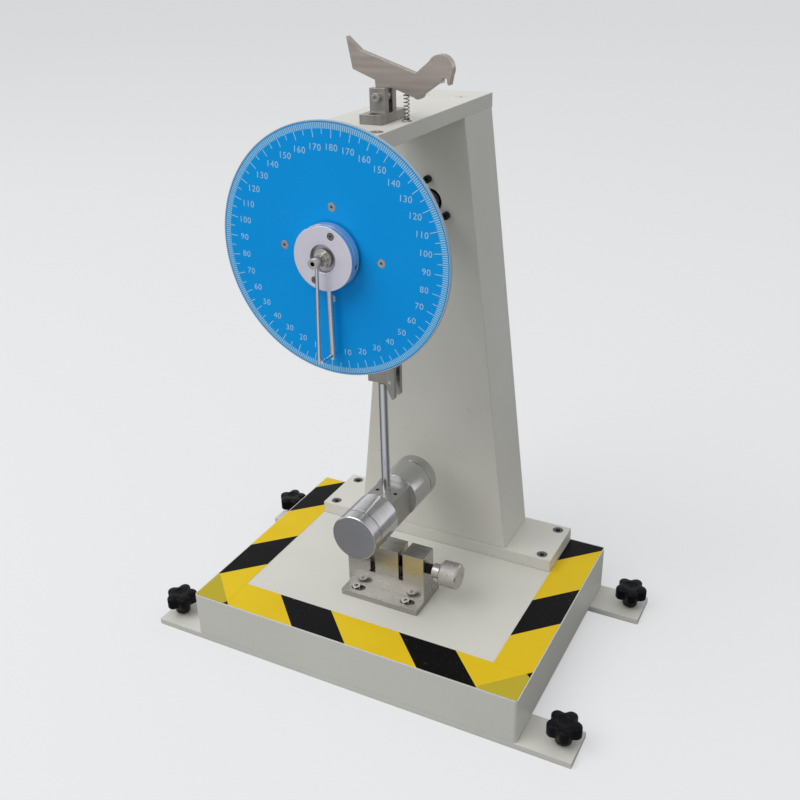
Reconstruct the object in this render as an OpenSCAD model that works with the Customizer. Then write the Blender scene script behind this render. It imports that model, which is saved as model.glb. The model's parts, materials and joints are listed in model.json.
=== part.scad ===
// Pendulum impact tester: a bench machine that swings a hammer at a clamped specimen.
// X runs to the right along the front edge, Y to the back and Z up, in millimetres.
// The origin lies on the bench, under the middle of the machine's outer box.

/* [Base] */
// Width of the base tray
base_w = 340; // [300:1:420]
// Height of the base tray's top face above the bench
base_top = 53; // [40:1:80]
// Sheet thickness of the base tray
tray_wall = 4; // [2.5:0.5:5]
// Radius of the tray's upright corners
tray_r = 3; // [2:0.5:8]
// Thickness of the backing bars under the tray's top
backing_t = 8; // [6:1:12]
// Reach of each foot bar beyond the tray's side
bar_reach = 50; // [40:1:80]
// Depth of each foot bar
bar_d = 40; // [34:1:44]
// Thickness of each foot bar
bar_t = 6; // [5:0.5:10]
// Distance from the base's back face to the rear foot bar
rear_bar_inset = 2; // [0:0.5:10]
// Width of the hazard tape
tape_w = 36; // [25:1:37]
// Thickness of the hazard tape
tape_t = 0.3; // [0.2:0.05:0.5]
// Bare margin between the tape and the tray's edge
tape_margin = 1; // [0.5:0.5:4]

/* [Levelling screws] */
// Distance from a foot bar's end to its levelling screw
stud_inset = 14; // [12:1:20]
// Diameter of a levelling stud
stud_d = 8; // [6:1:10]
// Height of a stud's tip above the bench
stud_lift = 0.4; // [0.2:0.1:1]
// Diameter over the star knob's lobes
star_d = 32; // [28:1:40]
// Thickness of the star knob's lobed head
star_t = 13; // [10:0.5:18]
// Height of the hub under the lobed head
star_hub_h = 9; // [6:0.5:14]
// Gap between the star knob's hub and the foot bar
star_gap = 2.5; // [2:0.1:5]

/* [Column] */
// Gap between the column's foot plate and the tape beside it
plate_gap = 0.5; // [0.2:0.1:3]
// Depth of the column's foot plate
foot_plate_d = 66; // [62:1:80]
// Thickness of the column's foot plate
foot_plate_t = 13; // [10:0.5:18]
// Distance from the foot plate's end to its screw holes
foot_hole_inset = 11.5; // [10:0.5:16]
// Spacing of the foot plate's screws from front to back
foot_hole_pitch = 49; // [40:1:52]
// Width of the column at its foot
column_bottom_w = 166; // [140:1:200]
// Width of the column at its top
column_top_w = 70; // [64:1:90]
// Depth of the column
column_d = 60; // [54:1:62]
// Wall thickness of the column
column_wall = 4; // [3:0.5:6]
// Step between the foot plate's front edge and the column's face
column_step = 1.5; // [1:0.5:3]
// Thickness of the block inside the column's head
head_block_t = 20; // [14:1:30]
// Height of the top plate's upper face above the axle
top_rise = 88.5; // [84:0.5:120]
// Thickness of the top plate
top_plate_t = 12.5; // [10:0.5:16]
// Overhang of the top plate behind the column
top_back_step = 1.5; // [0:0.5:4]
// Diameter of the screws that hold the plates
plate_screw_d = 6; // [5:0.5:8]

/* [Pendulum] */
// Gap between the vise's top and the hanging hammer
hammer_gap = 21; // [15:0.5:40]
// Gap between the hammer's rear end and the column
hammer_back_gap = 33.5; // [28:0.5:60]
// Distance from the base's front face to the swing plane
swing_setback = 91.5; // [88:0.5:94]
// Distance from the axle to the hammer's axis
swing_r = 267; // [250:1:300]
// Diameter of the axle's main length
axle_d = 20; // [18:1:24]
// Diameter of the axle in its bearings
journal_d = 12; // [10:1:14]
// Outer diameter of the ball bearings
bearing_d = 28; // [26:1:30]
// Width of the ball bearings
bearing_w = 8; // [7:0.5:10]
// Diameter of the pendulum's hub
hub_d = 34; // [30:1:40]
// Length of the pendulum's hub along the axle
hub_l = 25; // [20:1:30]
// Diameter of the pendulum rod
rod_d = 8; // [6:0.5:9]
// Diameter of the hammer
hammer_d = 44; // [38:1:48]
// Length of the hammer along its axis
hammer_l = 125; // [110:1:128]
// Length of each of the hammer's end caps
cap_l = 12; // [8:0.5:16]
// Length of the hammer's milled centre
centre_l = 38; // [30:1:44]
// Width of the hammer's centre over its two striking faces
centre_w = 30; // [26:1:34]
// Height of the hammer's flat top above its axis
flat_h = 14.5; // [12:0.5:16]
// Width of the groove behind each end cap
ring_groove_w = 0.8; // [0.5:0.1:2]

/* [Catch on the rod] */
// Height of the catch block's underside below the axle
catch_drop = 136.5; // [134:0.5:139]
// Height of the catch block
catch_h = 24; // [20:0.5:28]
// Reach of the catch block to the left of the rod's axis
catch_left = 10.5; // [9:0.5:14]
// Reach of the catch block to the right of the rod's axis
catch_right = 15.5; // [15:0.1:16]
// Thickness of the catch block from front to back
catch_t = 15; // [14:0.5:18]
// Length of the catch finger below the block
finger_l = 14; // [12:0.5:16]
// Distance from the rod's axis to the root of the finger's gap
finger_root = 6.3; // [6:0.1:7]
// Diameter of the cross pin that the latch holds
catch_pin_d = 4; // [3:0.5:4]

/* [Dial and pointer] */
// Diameter of the dial
dial_d = 200; // [180:1:210]
// Thickness of the dial
dial_t = 3; // [2:0.5:5]
// Distance from the base's front face to the dial's front face
dial_setback = 17.5; // [12:0.5:20]
// Distance from the axle to each of the two dial screws at the sides
dial_screw_r = 43; // [38:0.5:46]
// Distance from the axle to the upper and the lower dial screw
dial_screw_rise = 36.5; // [34:0.5:46]
// Clockwise turn of the mounted dial plate, in degrees
dial_turn = 3; // [0:0.5:5]
// Diameter of the flange behind the dial
flange_d = 102; // [96:1:120]
// Thickness of the flange behind the dial
flange_t = 6; // [5:0.5:8]
// Thickness of the plate that hangs behind the dial
hanger_t = 12; // [10:0.5:14]
// Distance from the hanging plate to the top plate's front end
hanger_step = 6; // [2:0.5:10]
// Gap between the dial and the drive hub
drive_gap = 2.5; // [1.5:0.1:4]
// Diameter of the drive hub
drive_hub_d = 51; // [44:1:56]
// Thickness of the drive hub
drive_hub_t = 7; // [6.5:0.5:9]
// Thickness of the drive hub's cover
cover_t = 3.4; // [3:0.2:5]
// Diameter of the opening in the drive hub's cover
cover_bore_d = 22; // [18:1:26]
// Diameter of the drive arm
arm_d = 5; // [4:0.5:6]
// Distance from the axle to the drive pin
pin_r = 81.5; // [70:0.5:88]
// Diameter of the drive pin
pin_d = 3; // [2:0.5:4]
// Diameter of the pointer's rod
pointer_d = 3; // [2:0.5:4]
// Diameter of the pointer's hub
pointer_hub_d = 8; // [7:0.5:10]
// Length of the pointer's hub
pointer_hub_l = 10.5; // [9:0.5:14]

/* [Vise] */
// Width of the specimen vise
vise_w = 82; // [78:1:96]
// Shift of the vise to the right of the swing's lowest point
vise_shift = 2; // [0:0.5:6]
// Depth of the vise's foot
vise_foot_d = 50; // [46:1:56]
// Thickness of the vise's foot
vise_foot_t = 6; // [5:0.5:9]
// Depth of the vise's jaws
jaw_d = 21.5; // [18:0.5:26]
// Height of the vise's top above its foot's underside
vise_h = 54.5; // [48:0.5:60]
// Height of the jaw slide's floor above the foot's underside
slide_floor = 23.5; // [18:0.5:28]
// Width of the fixed jaw
fixed_jaw_w = 24.5; // [20:0.5:26]
// Width of the specimen slot at rest
slot_w = 5.4; // [5.1:0.1:8]
// Width of the moving jaw
moving_jaw_w = 25.4; // [20:0.2:27]
// Gap behind the moving jaw at rest
back_gap = 4.8; // [4.3:0.1:7]
// Height of the clamp screw above the foot's underside
clamp_z = 38; // [34:0.5:42]
// Diameter of the clamp screw
clamp_d = 10; // [8:1:12]
// Diameter of the knurled knob
knob_d = 25; // [20:1:30]
// Length of the knurled knob
knob_l = 18; // [14:1:24]
// Diameter of the knob's neck
neck_d = 14; // [12.5:0.5:18]
// Length of the knob's neck
neck_l = 9; // [6:0.5:12]
// Gap between the vise's wall and the knob's neck at rest
neck_gap = 5.7; // [5.3:0.1:8]

/* [Latch] */
// Thickness of the latch lever
lever_t = 6; // [4:0.5:6]
// Distance from the latch pivot to the middle of the lever's round head, to the right
lever_reach = 50.2; // [50:0.1:50.5]
// Distance from the machine's middle to the latch pivot, to the right
pivot_x = 8.3; // [7.5:0.1:9]
// Height of the latch pivot above the top plate
pivot_h = 18.2; // [17:0.1:19]
// Diameter of the latch pivot
pivot_d = 4; // [3:0.5:5]
// Width of the latch bracket's foot
bracket_foot_w = 19; // [17:0.5:24]
// Length of the latch bracket's foot from front to back
bracket_foot_l = 41; // [36:0.5:50]
// Thickness of the latch bracket's foot
bracket_foot_t = 7.3; // [6:0.1:9]
// Width of the latch bracket's two ears
ear_w = 13.4; // [11:0.2:16]
// Thickness of each ear
ear_t = 6; // [4:0.5:8]
// Height of the ears above the pivot
ear_top = 6.8; // [6.2:0.1:8]
// Diameter of the latch spring
spring_d = 5; // [4:0.5:6]
// Distance from the latch pivot to the latch spring, to the right
spring_reach = 20.5; // [18:0.5:24]

/* [Fits] */
// Running clearance on the radius of a turning pin or shaft
running = 0.05; // [0.03:0.01:0.09]
// Clearance on the radius of a hole that a screw passes
hole_gap = 0.2; // [0.1:0.05:0.4]
// Clearance between a moving face and its neighbour
face_gap = 0.3; // [0.2:0.05:0.5]

/* [Hidden] */
$fn = 64;
e = 0.01;

// Heights, from the base up to the axle and the top plate
axle_z = base_top + vise_h + hammer_gap + hammer_d / 2 + swing_r;
top_z = axle_z + top_rise;

// Front to back: the frame's middle lies between the pointer's nose and the base's back.
base_d = swing_setback + hammer_l / 2 + hammer_back_gap - column_step + foot_plate_d;
bar_l = base_w + 2 * bar_reach;
foot_plate_w = base_w - 2 * (tape_margin + tape_w + plate_gap);
groove_t = 0.6;
nut_step = 3.7;
nose_reach = drive_gap + drive_hub_t + groove_t + cover_t + nut_step + pointer_hub_l + face_gap;
nose_overhang = nose_reach - dial_setback;
base_front = (nose_overhang - base_d) / 2;
base_back = base_front + base_d;
swing_y = base_front + swing_setback;
dial_front = base_front + dial_setback;
dial_back = dial_front + dial_t;

tape_x = base_w / 2 - tape_margin;
tape_inner_y = base_front + tape_margin + tape_w;

// Column and plates
foot_plate_front = base_back - foot_plate_d;
foot_plate_top = base_top + foot_plate_t;
column_front = foot_plate_front + column_step;
column_back = column_front + column_d;
plate_under = top_z - top_plate_t;
hole_x = foot_plate_w / 2 - foot_hole_inset;
screw_head_d = plate_screw_d * 10 / 6;
screw_head_h = plate_screw_d;
head_sink = screw_head_h + 0.5;
foot_bolt_l = foot_plate_t - head_sink + tray_wall + backing_t - 1;
block_gap = 0.3;
head_block_w = column_top_w - 2 * (column_wall + block_gap);
head_screw_x = 18.5;
plate_screw_grip = 12;
plate_screw_l = top_plate_t + plate_screw_grip;
plate_screw_head_d = plate_screw_d * 1.9;

// Foot bars and levelling screws
rear_bar_y = base_back - rear_bar_inset - bar_d;
front_stud_y = base_front + bar_d / 2;
rear_stud_y = rear_bar_y + bar_d / 2;
stud_x = bar_l / 2 - stud_inset;
star_z = bar_t + star_gap;
stud_top = star_z + star_hub_h + star_t * 0.6;

// Bearings, dial carrier and hanging plate
flange_back = dial_back + flange_t;
boss_l = 12.5;
hanger_front = flange_back + boss_l;
hanger_back = hanger_front + hanger_t;
hanger_screw_x = 27;
top_front = hanger_front - hanger_step;
spigot_d = 38;
boss_d = 62;
flange_screw_r = 25;
small_screw_d = 4;
small_head_d = 7;
front_bearing_y = hanger_back - bearing_w;
housing_l = 14;
housing_d = 60;
housing_front = column_front + column_wall;
rear_bearing_y = housing_front + 2;
bearing_screw_r = 21;
journal_r = journal_d / 2;
track_r = (bearing_d + journal_d) / 4;
ball_d = (bearing_d - journal_d) / 2 - 3.2;
housing_back = housing_front + housing_l;
axle_back = housing_back - 1;
rear_cover_t = 6;

// Hammer
hammer_z = axle_z - swing_r;
hammer_front = swing_y - hammer_l / 2;
hammer_back = swing_y + hammer_l / 2;
tie_d = 10;
tie_grip = 10;
cap_edge = 0.8;
rod_top = axle_z - axle_d / 2 - 0.1;
rod_bottom = hammer_z + flat_h - 10;
clamp_screw_x = 9.5;

// Catch
catch_z = axle_z - catch_drop;
catch_pin_x = 10.3;
catch_pin_z = catch_z + 1.7;
catch_slot_w = lever_t + 1;

// Drive hub and pointer
drive_back = dial_front - drive_gap;
drive_front = drive_back - drive_hub_t;
cover_back = drive_front - groove_t;
cover_front = cover_back - cover_t;
cover_screw_r = 19.7;
cover_screw_a = 66;
hub_screw_a = 13;
arm_y = drive_front + drive_hub_t / 2;
spindle_d = 6;
spindle_grip = 4;
pointer_back = cover_front - nut_step - face_gap;
pointer_front = pointer_back - pointer_hub_l;
pointer_y = pointer_back - pointer_hub_l / 2 + 1;
pointer_rest = asin(((pin_d + pointer_d) / 2 + 0.1) / pin_r);
pointer_root = spindle_d / 2 + face_gap;
pointer_tip = 2;

// Vise
vise_left = vise_shift - vise_w / 2;
vise_right = vise_shift + vise_w / 2;
vise_front = swing_y - vise_foot_d / 2 - 1.5;
jaw_front = swing_y - jaw_d / 2;
slot_left = vise_left + fixed_jaw_w;
jaw_left = slot_left + slot_w;
jaw_right = jaw_left + moving_jaw_w;
wall_left = jaw_right + back_gap;
vise_bolt_d = 5;
vise_bolt_head_d = 8;
vise_slot_x = 27;
vise_slot_l = 5.7;
vise_bolt_y = 17.5;
vise_bolt_shift = 2.5;
vise_head_sink = vise_foot_t * 0.55;
vise_bolt_l = vise_foot_t - vise_head_sink + tray_wall + backing_t - 2;
tongue_w = 8;
tongue_h = 6;
jaw_lift = 0.1;
clamp_top = base_top + clamp_z;
keeper_x = jaw_right - 4;
nose_d = clamp_d * 0.6;
nose_l = 8;
keeper_d = 2;
knob_edge = 1.5;
keeper_z = nose_d * 0.35 + keeper_d / 2 + running;

// Latch
pivot_z = top_z + pivot_h;
ear_gap = lever_t + 2 * face_gap;
ear_front = swing_y - ear_gap / 2 - ear_t;
bracket_x = pivot_x + 0.9;
spring_x = pivot_x + spring_reach;
notch_r = catch_pin_d / 2 + face_gap;
notch_x = 53.8;
notch_z = 13.4;
claw_x = notch_x + notch_r;
claw_tip = notch_z - 2.8;
head_r = 10.3;
head_rise = 0.4382;
heel_d = 8.4;
heel_share = [0.6275, 0.0657];
lever_boss_d = 11;
lever_front = swing_y - lever_t / 2;
lever_back = swing_y + lever_t / 2;
anchor_h = 4;
anchor_sink = 7;
anchor_d = spring_d - 2;
ring_t = 1.5;
spring_top = pivot_z + 1.9;

// Solids along Y and X, and plates cut from an X-Z outline
module along_y(y0, y1) translate([0, y0, 0]) rotate([-90, 0, 0]) linear_extrude(y1 - y0) children();
module rod_y(d, y0, y1, x = 0, z = 0) translate([x, y0, z]) rotate([-90, 0, 0]) cylinder(d = d, h = y1 - y0);
module rod_x(d, x0, x1, y = 0, z = 0) translate([x0, y, z]) rotate([0, 90, 0]) cylinder(d = d, h = x1 - x0);
module plate_y(y0, y1) translate([0, y1, 0]) rotate([90, 0, 0]) linear_extrude(y1 - y0) children();
module at_axle() translate([0, 0, axle_z]) children();

module screw_hole(d, h) cylinder(d = d + 2 * hole_gap, h = h);

module rounded(w, d, r) {
  square([w - 2 * r, d], center = true);
  square([w, d - 2 * r], center = true);
  for (x = [-1, 1], y = [-1, 1])
    translate([x * (w / 2 - r), y * (d / 2 - r)]) circle(r = r);
}

// A socket head screw that points down from the underside of its head
module socket_screw(d, head_d, head_h, l) {
  difference() {
    union() {
      cylinder(d = head_d, h = head_h);
      translate([0, 0, -l]) cylinder(d = d, h = l + e);
    }
    translate([0, 0, head_h * 0.45]) cylinder(d = d * 0.95, h = head_h, $fn = 6);
  }
}

// A screw with a flat countersunk head whose face lies at z = 0
module flat_screw(d, head_d, l) {
  difference() {
    union() {
      translate([0, 0, -l]) cylinder(d = d, h = l);
      translate([0, 0, -(head_d - d) / 2]) cylinder(d1 = d, d2 = head_d, h = (head_d - d) / 2);
    }
    translate([0, 0, -d * 0.35]) cylinder(d = d * 0.6, h = d, $fn = 6);
  }
}

module flat_screw_hole(d, head_d, l) {
  translate([0, 0, -l]) cylinder(d = d + 2 * hole_gap, h = l + 1);
  translate([0, 0, -(head_d - d) / 2])
    cylinder(d1 = d + 2 * hole_gap, d2 = head_d + 2 * hole_gap, h = (head_d - d) / 2 + e);
}

module at_foot_holes()
  for (x = [-hole_x, hole_x], y = [-1, 1])
    translate([x, foot_plate_front + foot_plate_d / 2 + y * foot_hole_pitch / 2, foot_plate_top]) children();

module at_vise_bolts()
  for (x = [-vise_slot_x, vise_slot_x], y = [-vise_bolt_y, vise_bolt_y])
    translate([vise_shift + x - vise_bolt_shift, swing_y + y, base_top + vise_foot_t]) children();

// Base
module base_tray() color("whitesmoke") difference() {
  translate([0, (base_front + base_back) / 2, bar_t])
    linear_extrude(base_top - bar_t) rounded(base_w, base_d, tray_r);
  translate([0, (base_front + base_back) / 2, bar_t - 1])
    linear_extrude(base_top - bar_t - tray_wall + 1)
      rounded(base_w - 2 * tray_wall, base_d - 2 * tray_wall, max(tray_r - tray_wall, 1));
  at_foot_holes() translate([0, 0, -foot_plate_t - tray_wall - 1]) screw_hole(plate_screw_d, tray_wall + 2);
  at_vise_bolts() translate([0, 0, -vise_foot_t - tray_wall - 1]) screw_hole(vise_bolt_d, tray_wall + 2);
}

module backing_bars() color("dimgray") difference() {
  union() {
    translate([-foot_plate_w / 2, foot_plate_front, base_top - tray_wall - backing_t])
      cube([foot_plate_w, foot_plate_d - tray_wall - 1, backing_t]);
    translate([vise_left, vise_front, base_top - tray_wall - backing_t])
      cube([vise_w, vise_foot_d, backing_t]);
  }
  at_foot_holes() translate([0, 0, -foot_plate_top]) screw_hole(plate_screw_d, foot_plate_top);
  at_vise_bolts() translate([0, 0, -base_top]) screw_hole(vise_bolt_d, base_top);
}

module foot_bar(y0) color("whitesmoke") difference() {
  translate([-bar_l / 2, y0, 0]) cube([bar_l, bar_d, bar_t]);
  for (x = [-1, 1])
    translate([x * stud_x, y0 + bar_d / 2, -1]) cylinder(d = stud_d + 2 * running, h = bar_t + 2);
}

module foot_bars() {
  foot_bar(base_front);
  foot_bar(rear_bar_y);
}

module hazard_tape() color("gold") {
  translate([-tape_x, base_front + tape_margin, base_top]) cube([2 * tape_x, tape_w, tape_t]);
  for (x = [-tape_x, tape_x - tape_w]) translate([x, tape_inner_y, base_top])
    cube([tape_w, base_back - tape_margin - tape_inner_y, tape_t]);
}

// Column
module column_foot_plate() color("whitesmoke") difference() {
  translate([-foot_plate_w / 2, foot_plate_front, base_top]) cube([foot_plate_w, foot_plate_d, foot_plate_t]);
  at_foot_holes() {
    translate([0, 0, -foot_plate_t - 1]) screw_hole(plate_screw_d, foot_plate_t + 2);
    translate([0, 0, -head_sink]) cylinder(d = screw_head_d + 1, h = head_sink + 1);
  }
}

module column_bolts() color("dimgray")
  at_foot_holes() translate([0, 0, -head_sink])
    socket_screw(plate_screw_d, screw_head_d, screw_head_h, foot_bolt_l);

module column_outline(inset) polygon([
  [-column_bottom_w / 2 + inset, foot_plate_top], [column_bottom_w / 2 - inset, foot_plate_top],
  [column_top_w / 2 - inset, plate_under], [-column_top_w / 2 + inset, plate_under]]);

module open_end(w, z) translate([0, z]) square([w - 2 * column_wall, 1], center = true);

module column_shell() color("whitesmoke") difference() {
  plate_y(column_front, column_back) column_outline(0);
  plate_y(column_front + column_wall, column_back - column_wall) {
    column_outline(column_wall);
    open_end(column_bottom_w, foot_plate_top);
    open_end(column_top_w, plate_under);
  }
  rod_y(axle_d + 6, column_front - 1, column_front + column_wall + 1, 0, axle_z);
  at_bearing_screws() rod_y(small_screw_d + 2 * hole_gap, column_front - 1, column_front + column_wall + 1);
}

// Places on a circle round the axle, at these angles from +X
module round_axle(r, angles)
  at_axle() for (a = angles) translate([r * cos(a), 0, r * sin(a)]) children();

module at_bearing_screws() round_axle(bearing_screw_r, [90, 210, 330]) children();

module column_head_block() color("dimgray") difference() {
  translate([-head_block_w / 2, column_front + column_wall + block_gap, plate_under - head_block_t])
    cube([head_block_w, column_d - 2 * (column_wall + block_gap), head_block_t]);
  for (x = [-head_screw_x, head_screw_x])
    translate([x, column_front + column_d / 2, plate_under - head_block_t - 1])
      cylinder(d = plate_screw_d + 2 * hole_gap, h = head_block_t + 2);
}

module at_plate_screws() {
  for (x = [-head_screw_x, head_screw_x]) translate([x, column_front + column_d / 2, top_z]) children();
  for (x = [-hanger_screw_x, hanger_screw_x]) translate([x, hanger_front + hanger_t / 2, top_z]) children();
}

module top_plate() color("whitesmoke") difference() {
  translate([-column_top_w / 2, top_front, plate_under])
    cube([column_top_w, column_back + top_back_step - top_front, top_plate_t]);
  at_plate_screws() flat_screw_hole(plate_screw_d, plate_screw_head_d, top_plate_t + 1);
  at_bracket_screws() translate([0, 0, -bracket_foot_t - top_plate_t - 1])
    screw_hole(small_screw_d, top_plate_t + 2);
  translate([spring_x, swing_y, top_z - anchor_sink]) cylinder(d = anchor_d, h = anchor_sink + 1);
}

module top_plate_screws() color("lightgray")
  at_plate_screws() flat_screw(plate_screw_d, plate_screw_head_d, plate_screw_l);

module hanger_plate() color("whitesmoke") difference() {
  plate_y(hanger_front, hanger_back) {
    translate([-column_top_w / 2, axle_z]) square([column_top_w, plate_under - axle_z]);
    translate([0, axle_z]) circle(d = column_top_w);
  }
  rod_y(spigot_d + 2 * hole_gap, hanger_front - 1, hanger_back + 1, 0, axle_z);
  at_flange_screws() rod_y(small_screw_d + 2 * hole_gap, hanger_front - 1, hanger_back + 1);
  for (x = [-hanger_screw_x, hanger_screw_x])
    translate([x, hanger_front + hanger_t / 2, top_z - plate_screw_l - 1])
      cylinder(d = plate_screw_d + 2 * hole_gap, h = plate_screw_l);
}

module at_flange_screws() round_axle(flange_screw_r, [30, 150, 270]) children();

// Bearings and their carriers
module dial_flange() color("silver") difference() {
  union() {
    rod_y(flange_d, dial_back, flange_back, 0, axle_z);
    rod_y(boss_d, flange_back - e, hanger_front, 0, axle_z);
    rod_y(spigot_d, hanger_front - e, hanger_back, 0, axle_z);
  }
  rod_y(journal_d + 4, dial_back - 1, hanger_back, 0, axle_z);
  rod_y(bearing_d + 2 * running, front_bearing_y, hanger_back + 1, 0, axle_z);
  at_dial_screws() rod_y(small_screw_d + 2 * hole_gap, dial_back - 1, flange_back + 1);
  at_flange_screws() {
    rod_y(small_screw_d + 2 * hole_gap, dial_back - 1, hanger_front + 1);
    rod_y(small_head_d + 2 * hole_gap, dial_back - 1, dial_back + small_screw_d + 0.5);
  }
}

module dial_flange_screws() color("dimgray")
  at_flange_screws() translate([0, dial_back + small_screw_d + 0.5, 0]) rotate([90, 0, 0])
    socket_screw(small_screw_d, small_head_d, small_screw_d, boss_l + hanger_t - 2);

module outer_ring(y) difference() {
  rod_y(bearing_d, y, y + bearing_w, 0, axle_z);
  rod_y(bearing_d - 5, y - 1, y + bearing_w + 1, 0, axle_z);
  ball_track(y);
}
module ball_track(y) translate([0, y + bearing_w / 2, axle_z]) rotate([-90, 0, 0])
  rotate_extrude() translate([track_r, 0]) circle(d = ball_d + 2 * running);

module bearing_outer_rings() color("lightgray") {
  outer_ring(front_bearing_y);
  outer_ring(rear_bearing_y);
}

module inner_ring(y) {
  difference() {
    rod_y(journal_d + 5, y, y + bearing_w, 0, axle_z);
    rod_y(journal_d, y - 1, y + bearing_w + 1, 0, axle_z);
    ball_track(y);
  }
  for (a = [0:45:315])
    translate([track_r * cos(a), y + bearing_w / 2, axle_z + track_r * sin(a)]) sphere(d = ball_d);
}

module bearing_inner_rings() color("lightgray") {
  inner_ring(front_bearing_y);
  inner_ring(rear_bearing_y);
}

module rear_bearing_housing() color("silver") difference() {
  rod_y(housing_d, housing_front, housing_front + housing_l, 0, axle_z);
  rod_y(axle_d + 2, housing_front - 1, rear_bearing_y + 1, 0, axle_z);
  rod_y(bearing_d + 2 * running, rear_bearing_y, housing_front + housing_l + 1, 0, axle_z);
  at_bearing_screws() rod_y(small_screw_d + 2 * hole_gap, housing_front - 1, housing_front + housing_l + 1);
}

module rear_bearing_screws() color("black")
  at_bearing_screws() translate([0, column_front, 0]) rotate([90, 0, 0])
    socket_screw(small_screw_d, small_head_d, small_screw_d, column_wall + housing_l - 2);

module rear_cover() color("silver") difference() {
  rod_y(housing_d - 14, housing_back, housing_back + rear_cover_t, 0, axle_z);
  rod_y(spindle_d, housing_back - 1, housing_back + rear_cover_t + 1, 0, axle_z);
}

// The spindle stands still inside the hollow axle and carries the pointer at its front end
module pointer_spindle() color("silver")
  rod_y(spindle_d, pointer_back - spindle_grip, housing_back + rear_cover_t, 0, axle_z);

module at_dial_screws() {
  round_axle(dial_screw_r, [-dial_turn, 180 - dial_turn]) children();
  round_axle(dial_screw_rise, [90 - dial_turn, 270 - dial_turn]) children();
}

module dial_plate() color("dodgerblue") difference() {
  rod_y(dial_d, dial_front, dial_back, 0, axle_z);
  rod_y(journal_d + 4, dial_front - 1, dial_back + 1, 0, axle_z);
  at_dial_screws() translate([0, dial_front, 0]) rotate([90, 0, 0])
    flat_screw_hole(small_screw_d, small_head_d, dial_t + 1);
}

module dial_screws() color("silver")
  at_dial_screws() translate([0, dial_front, 0]) rotate([90, 0, 0])
    flat_screw(small_screw_d, small_head_d, dial_t + flange_t - 0.5);

// Pendulum
module axle() color("silver") difference() {
  union() {
    rod_y(axle_d, hanger_back + 2, rear_bearing_y - 0.5, 0, axle_z);
    rod_y(journal_d, drive_front, axle_back, 0, axle_z);
    rod_y(journal_d + 4, hanger_back + face_gap, hanger_back + 2 + e, 0, axle_z);
  }
  rod_y(spindle_d + 2 * face_gap, drive_front - 1, axle_back + 1, 0, axle_z);
}

module pendulum_hub() color("silver") difference() {
  rod_y(hub_d, swing_y - hub_l / 2, swing_y + hub_l / 2, 0, axle_z);
  rod_y(axle_d, swing_y - hub_l, swing_y + hub_l, 0, axle_z);
  translate([0, swing_y, axle_z - hub_d]) cylinder(d = rod_d, h = hub_d);
  rod_x(small_screw_d, 0, hub_d, swing_y, axle_z);
}

module pendulum_rod() color("silver")
  translate([0, swing_y, rod_bottom]) cylinder(d = rod_d, h = rod_top - rod_bottom);

module pendulum_set_screws() color("dimgray") {
  rod_x(small_screw_d, axle_d / 2, hub_d / 2 - 0.6, swing_y, axle_z);
  rod_x(small_screw_d, -catch_left + 0.6, -rod_d / 2, swing_y, catch_z + catch_h - 7);
}

module catch_block() color("lightsteelblue") difference() {
  union() {
    plate_y(swing_y - catch_t / 2, swing_y + catch_t / 2) polygon([
      [-catch_left, catch_z + catch_h], [-catch_left, catch_z], [finger_root, catch_z],
      [catch_right - 3, catch_z - finger_l], [catch_right - 1.2, catch_z - finger_l],
      [catch_right, catch_z - finger_l + 1.5], [catch_right, catch_z + catch_h]]);
    translate([0, swing_y, catch_z]) rotate_extrude() difference() {
      translate([0, -3]) square([rod_d / 2 + 3, 3 + e]);
      translate([rod_d / 2 + 3, -3]) circle(r = 3);
    }
  }
  translate([0, swing_y, catch_z - 4]) cylinder(d = rod_d, h = catch_h + 5);
  plate_y(swing_y - catch_slot_w / 2, swing_y + catch_slot_w / 2) polygon([
    [rod_d / 2 + 0.9, catch_z - finger_l - 1], [rod_d / 2 + 0.9, catch_z + 6], [12, catch_z + 9],
    [12, catch_z + 15], [catch_right + 1, catch_z + 15], [catch_right + 1, catch_z - finger_l - 1]]);
  rod_y(catch_pin_d, swing_y - catch_t, swing_y + catch_t, catch_pin_x, catch_pin_z);
  rod_x(small_screw_d, -catch_left - 1, 0, swing_y, catch_z + catch_h - 7);
}

module catch_pin() color("silver")
  rod_y(catch_pin_d, swing_y - catch_t / 2 + 0.3, swing_y + catch_t / 2 - 0.3, catch_pin_x, catch_pin_z);

module hammer_centre() color("silver") difference() {
  intersection() {
    rod_y(hammer_d, swing_y - centre_l / 2, swing_y + centre_l / 2, 0, hammer_z);
    translate([-centre_w / 2, swing_y - centre_l, hammer_z - hammer_d])
      cube([centre_w, 2 * centre_l, hammer_d + flat_h]);
  }
  translate([0, swing_y, rod_bottom]) cylinder(d = rod_d, h = hammer_d);
  for (y = [swing_y - centre_l / 2, swing_y + centre_l / 2])
    rod_y(tie_d, y - tie_grip, y + tie_grip, 0, hammer_z);
  at_clamp_screws() translate([0, 0, -9]) cylinder(d = small_screw_d, h = 10);
}

module at_clamp_screws()
  for (x = [-clamp_screw_x, clamp_screw_x]) translate([x, swing_y, hammer_z + flat_h]) children();

module hammer_clamp_screws() color("dimgray")
  at_clamp_screws() difference() {
    translate([0, 0, -9]) cylinder(d = small_screw_d, h = 8);
    translate([0, 0, -3]) cylinder(d = small_screw_d * 0.6, h = 3, $fn = 6);
  }

module hammer_weight(y0, y1) difference() {
  rod_y(hammer_d, y0, y1, 0, hammer_z);
  rod_y(tie_d, y0 - 1, y1 + 1, 0, hammer_z);
}
module hammer_weights() color("silver") {
  hammer_weight(hammer_front + cap_l + ring_groove_w, swing_y - centre_l / 2);
  hammer_weight(swing_y + centre_l / 2, hammer_back - cap_l - ring_groove_w);
}

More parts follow.
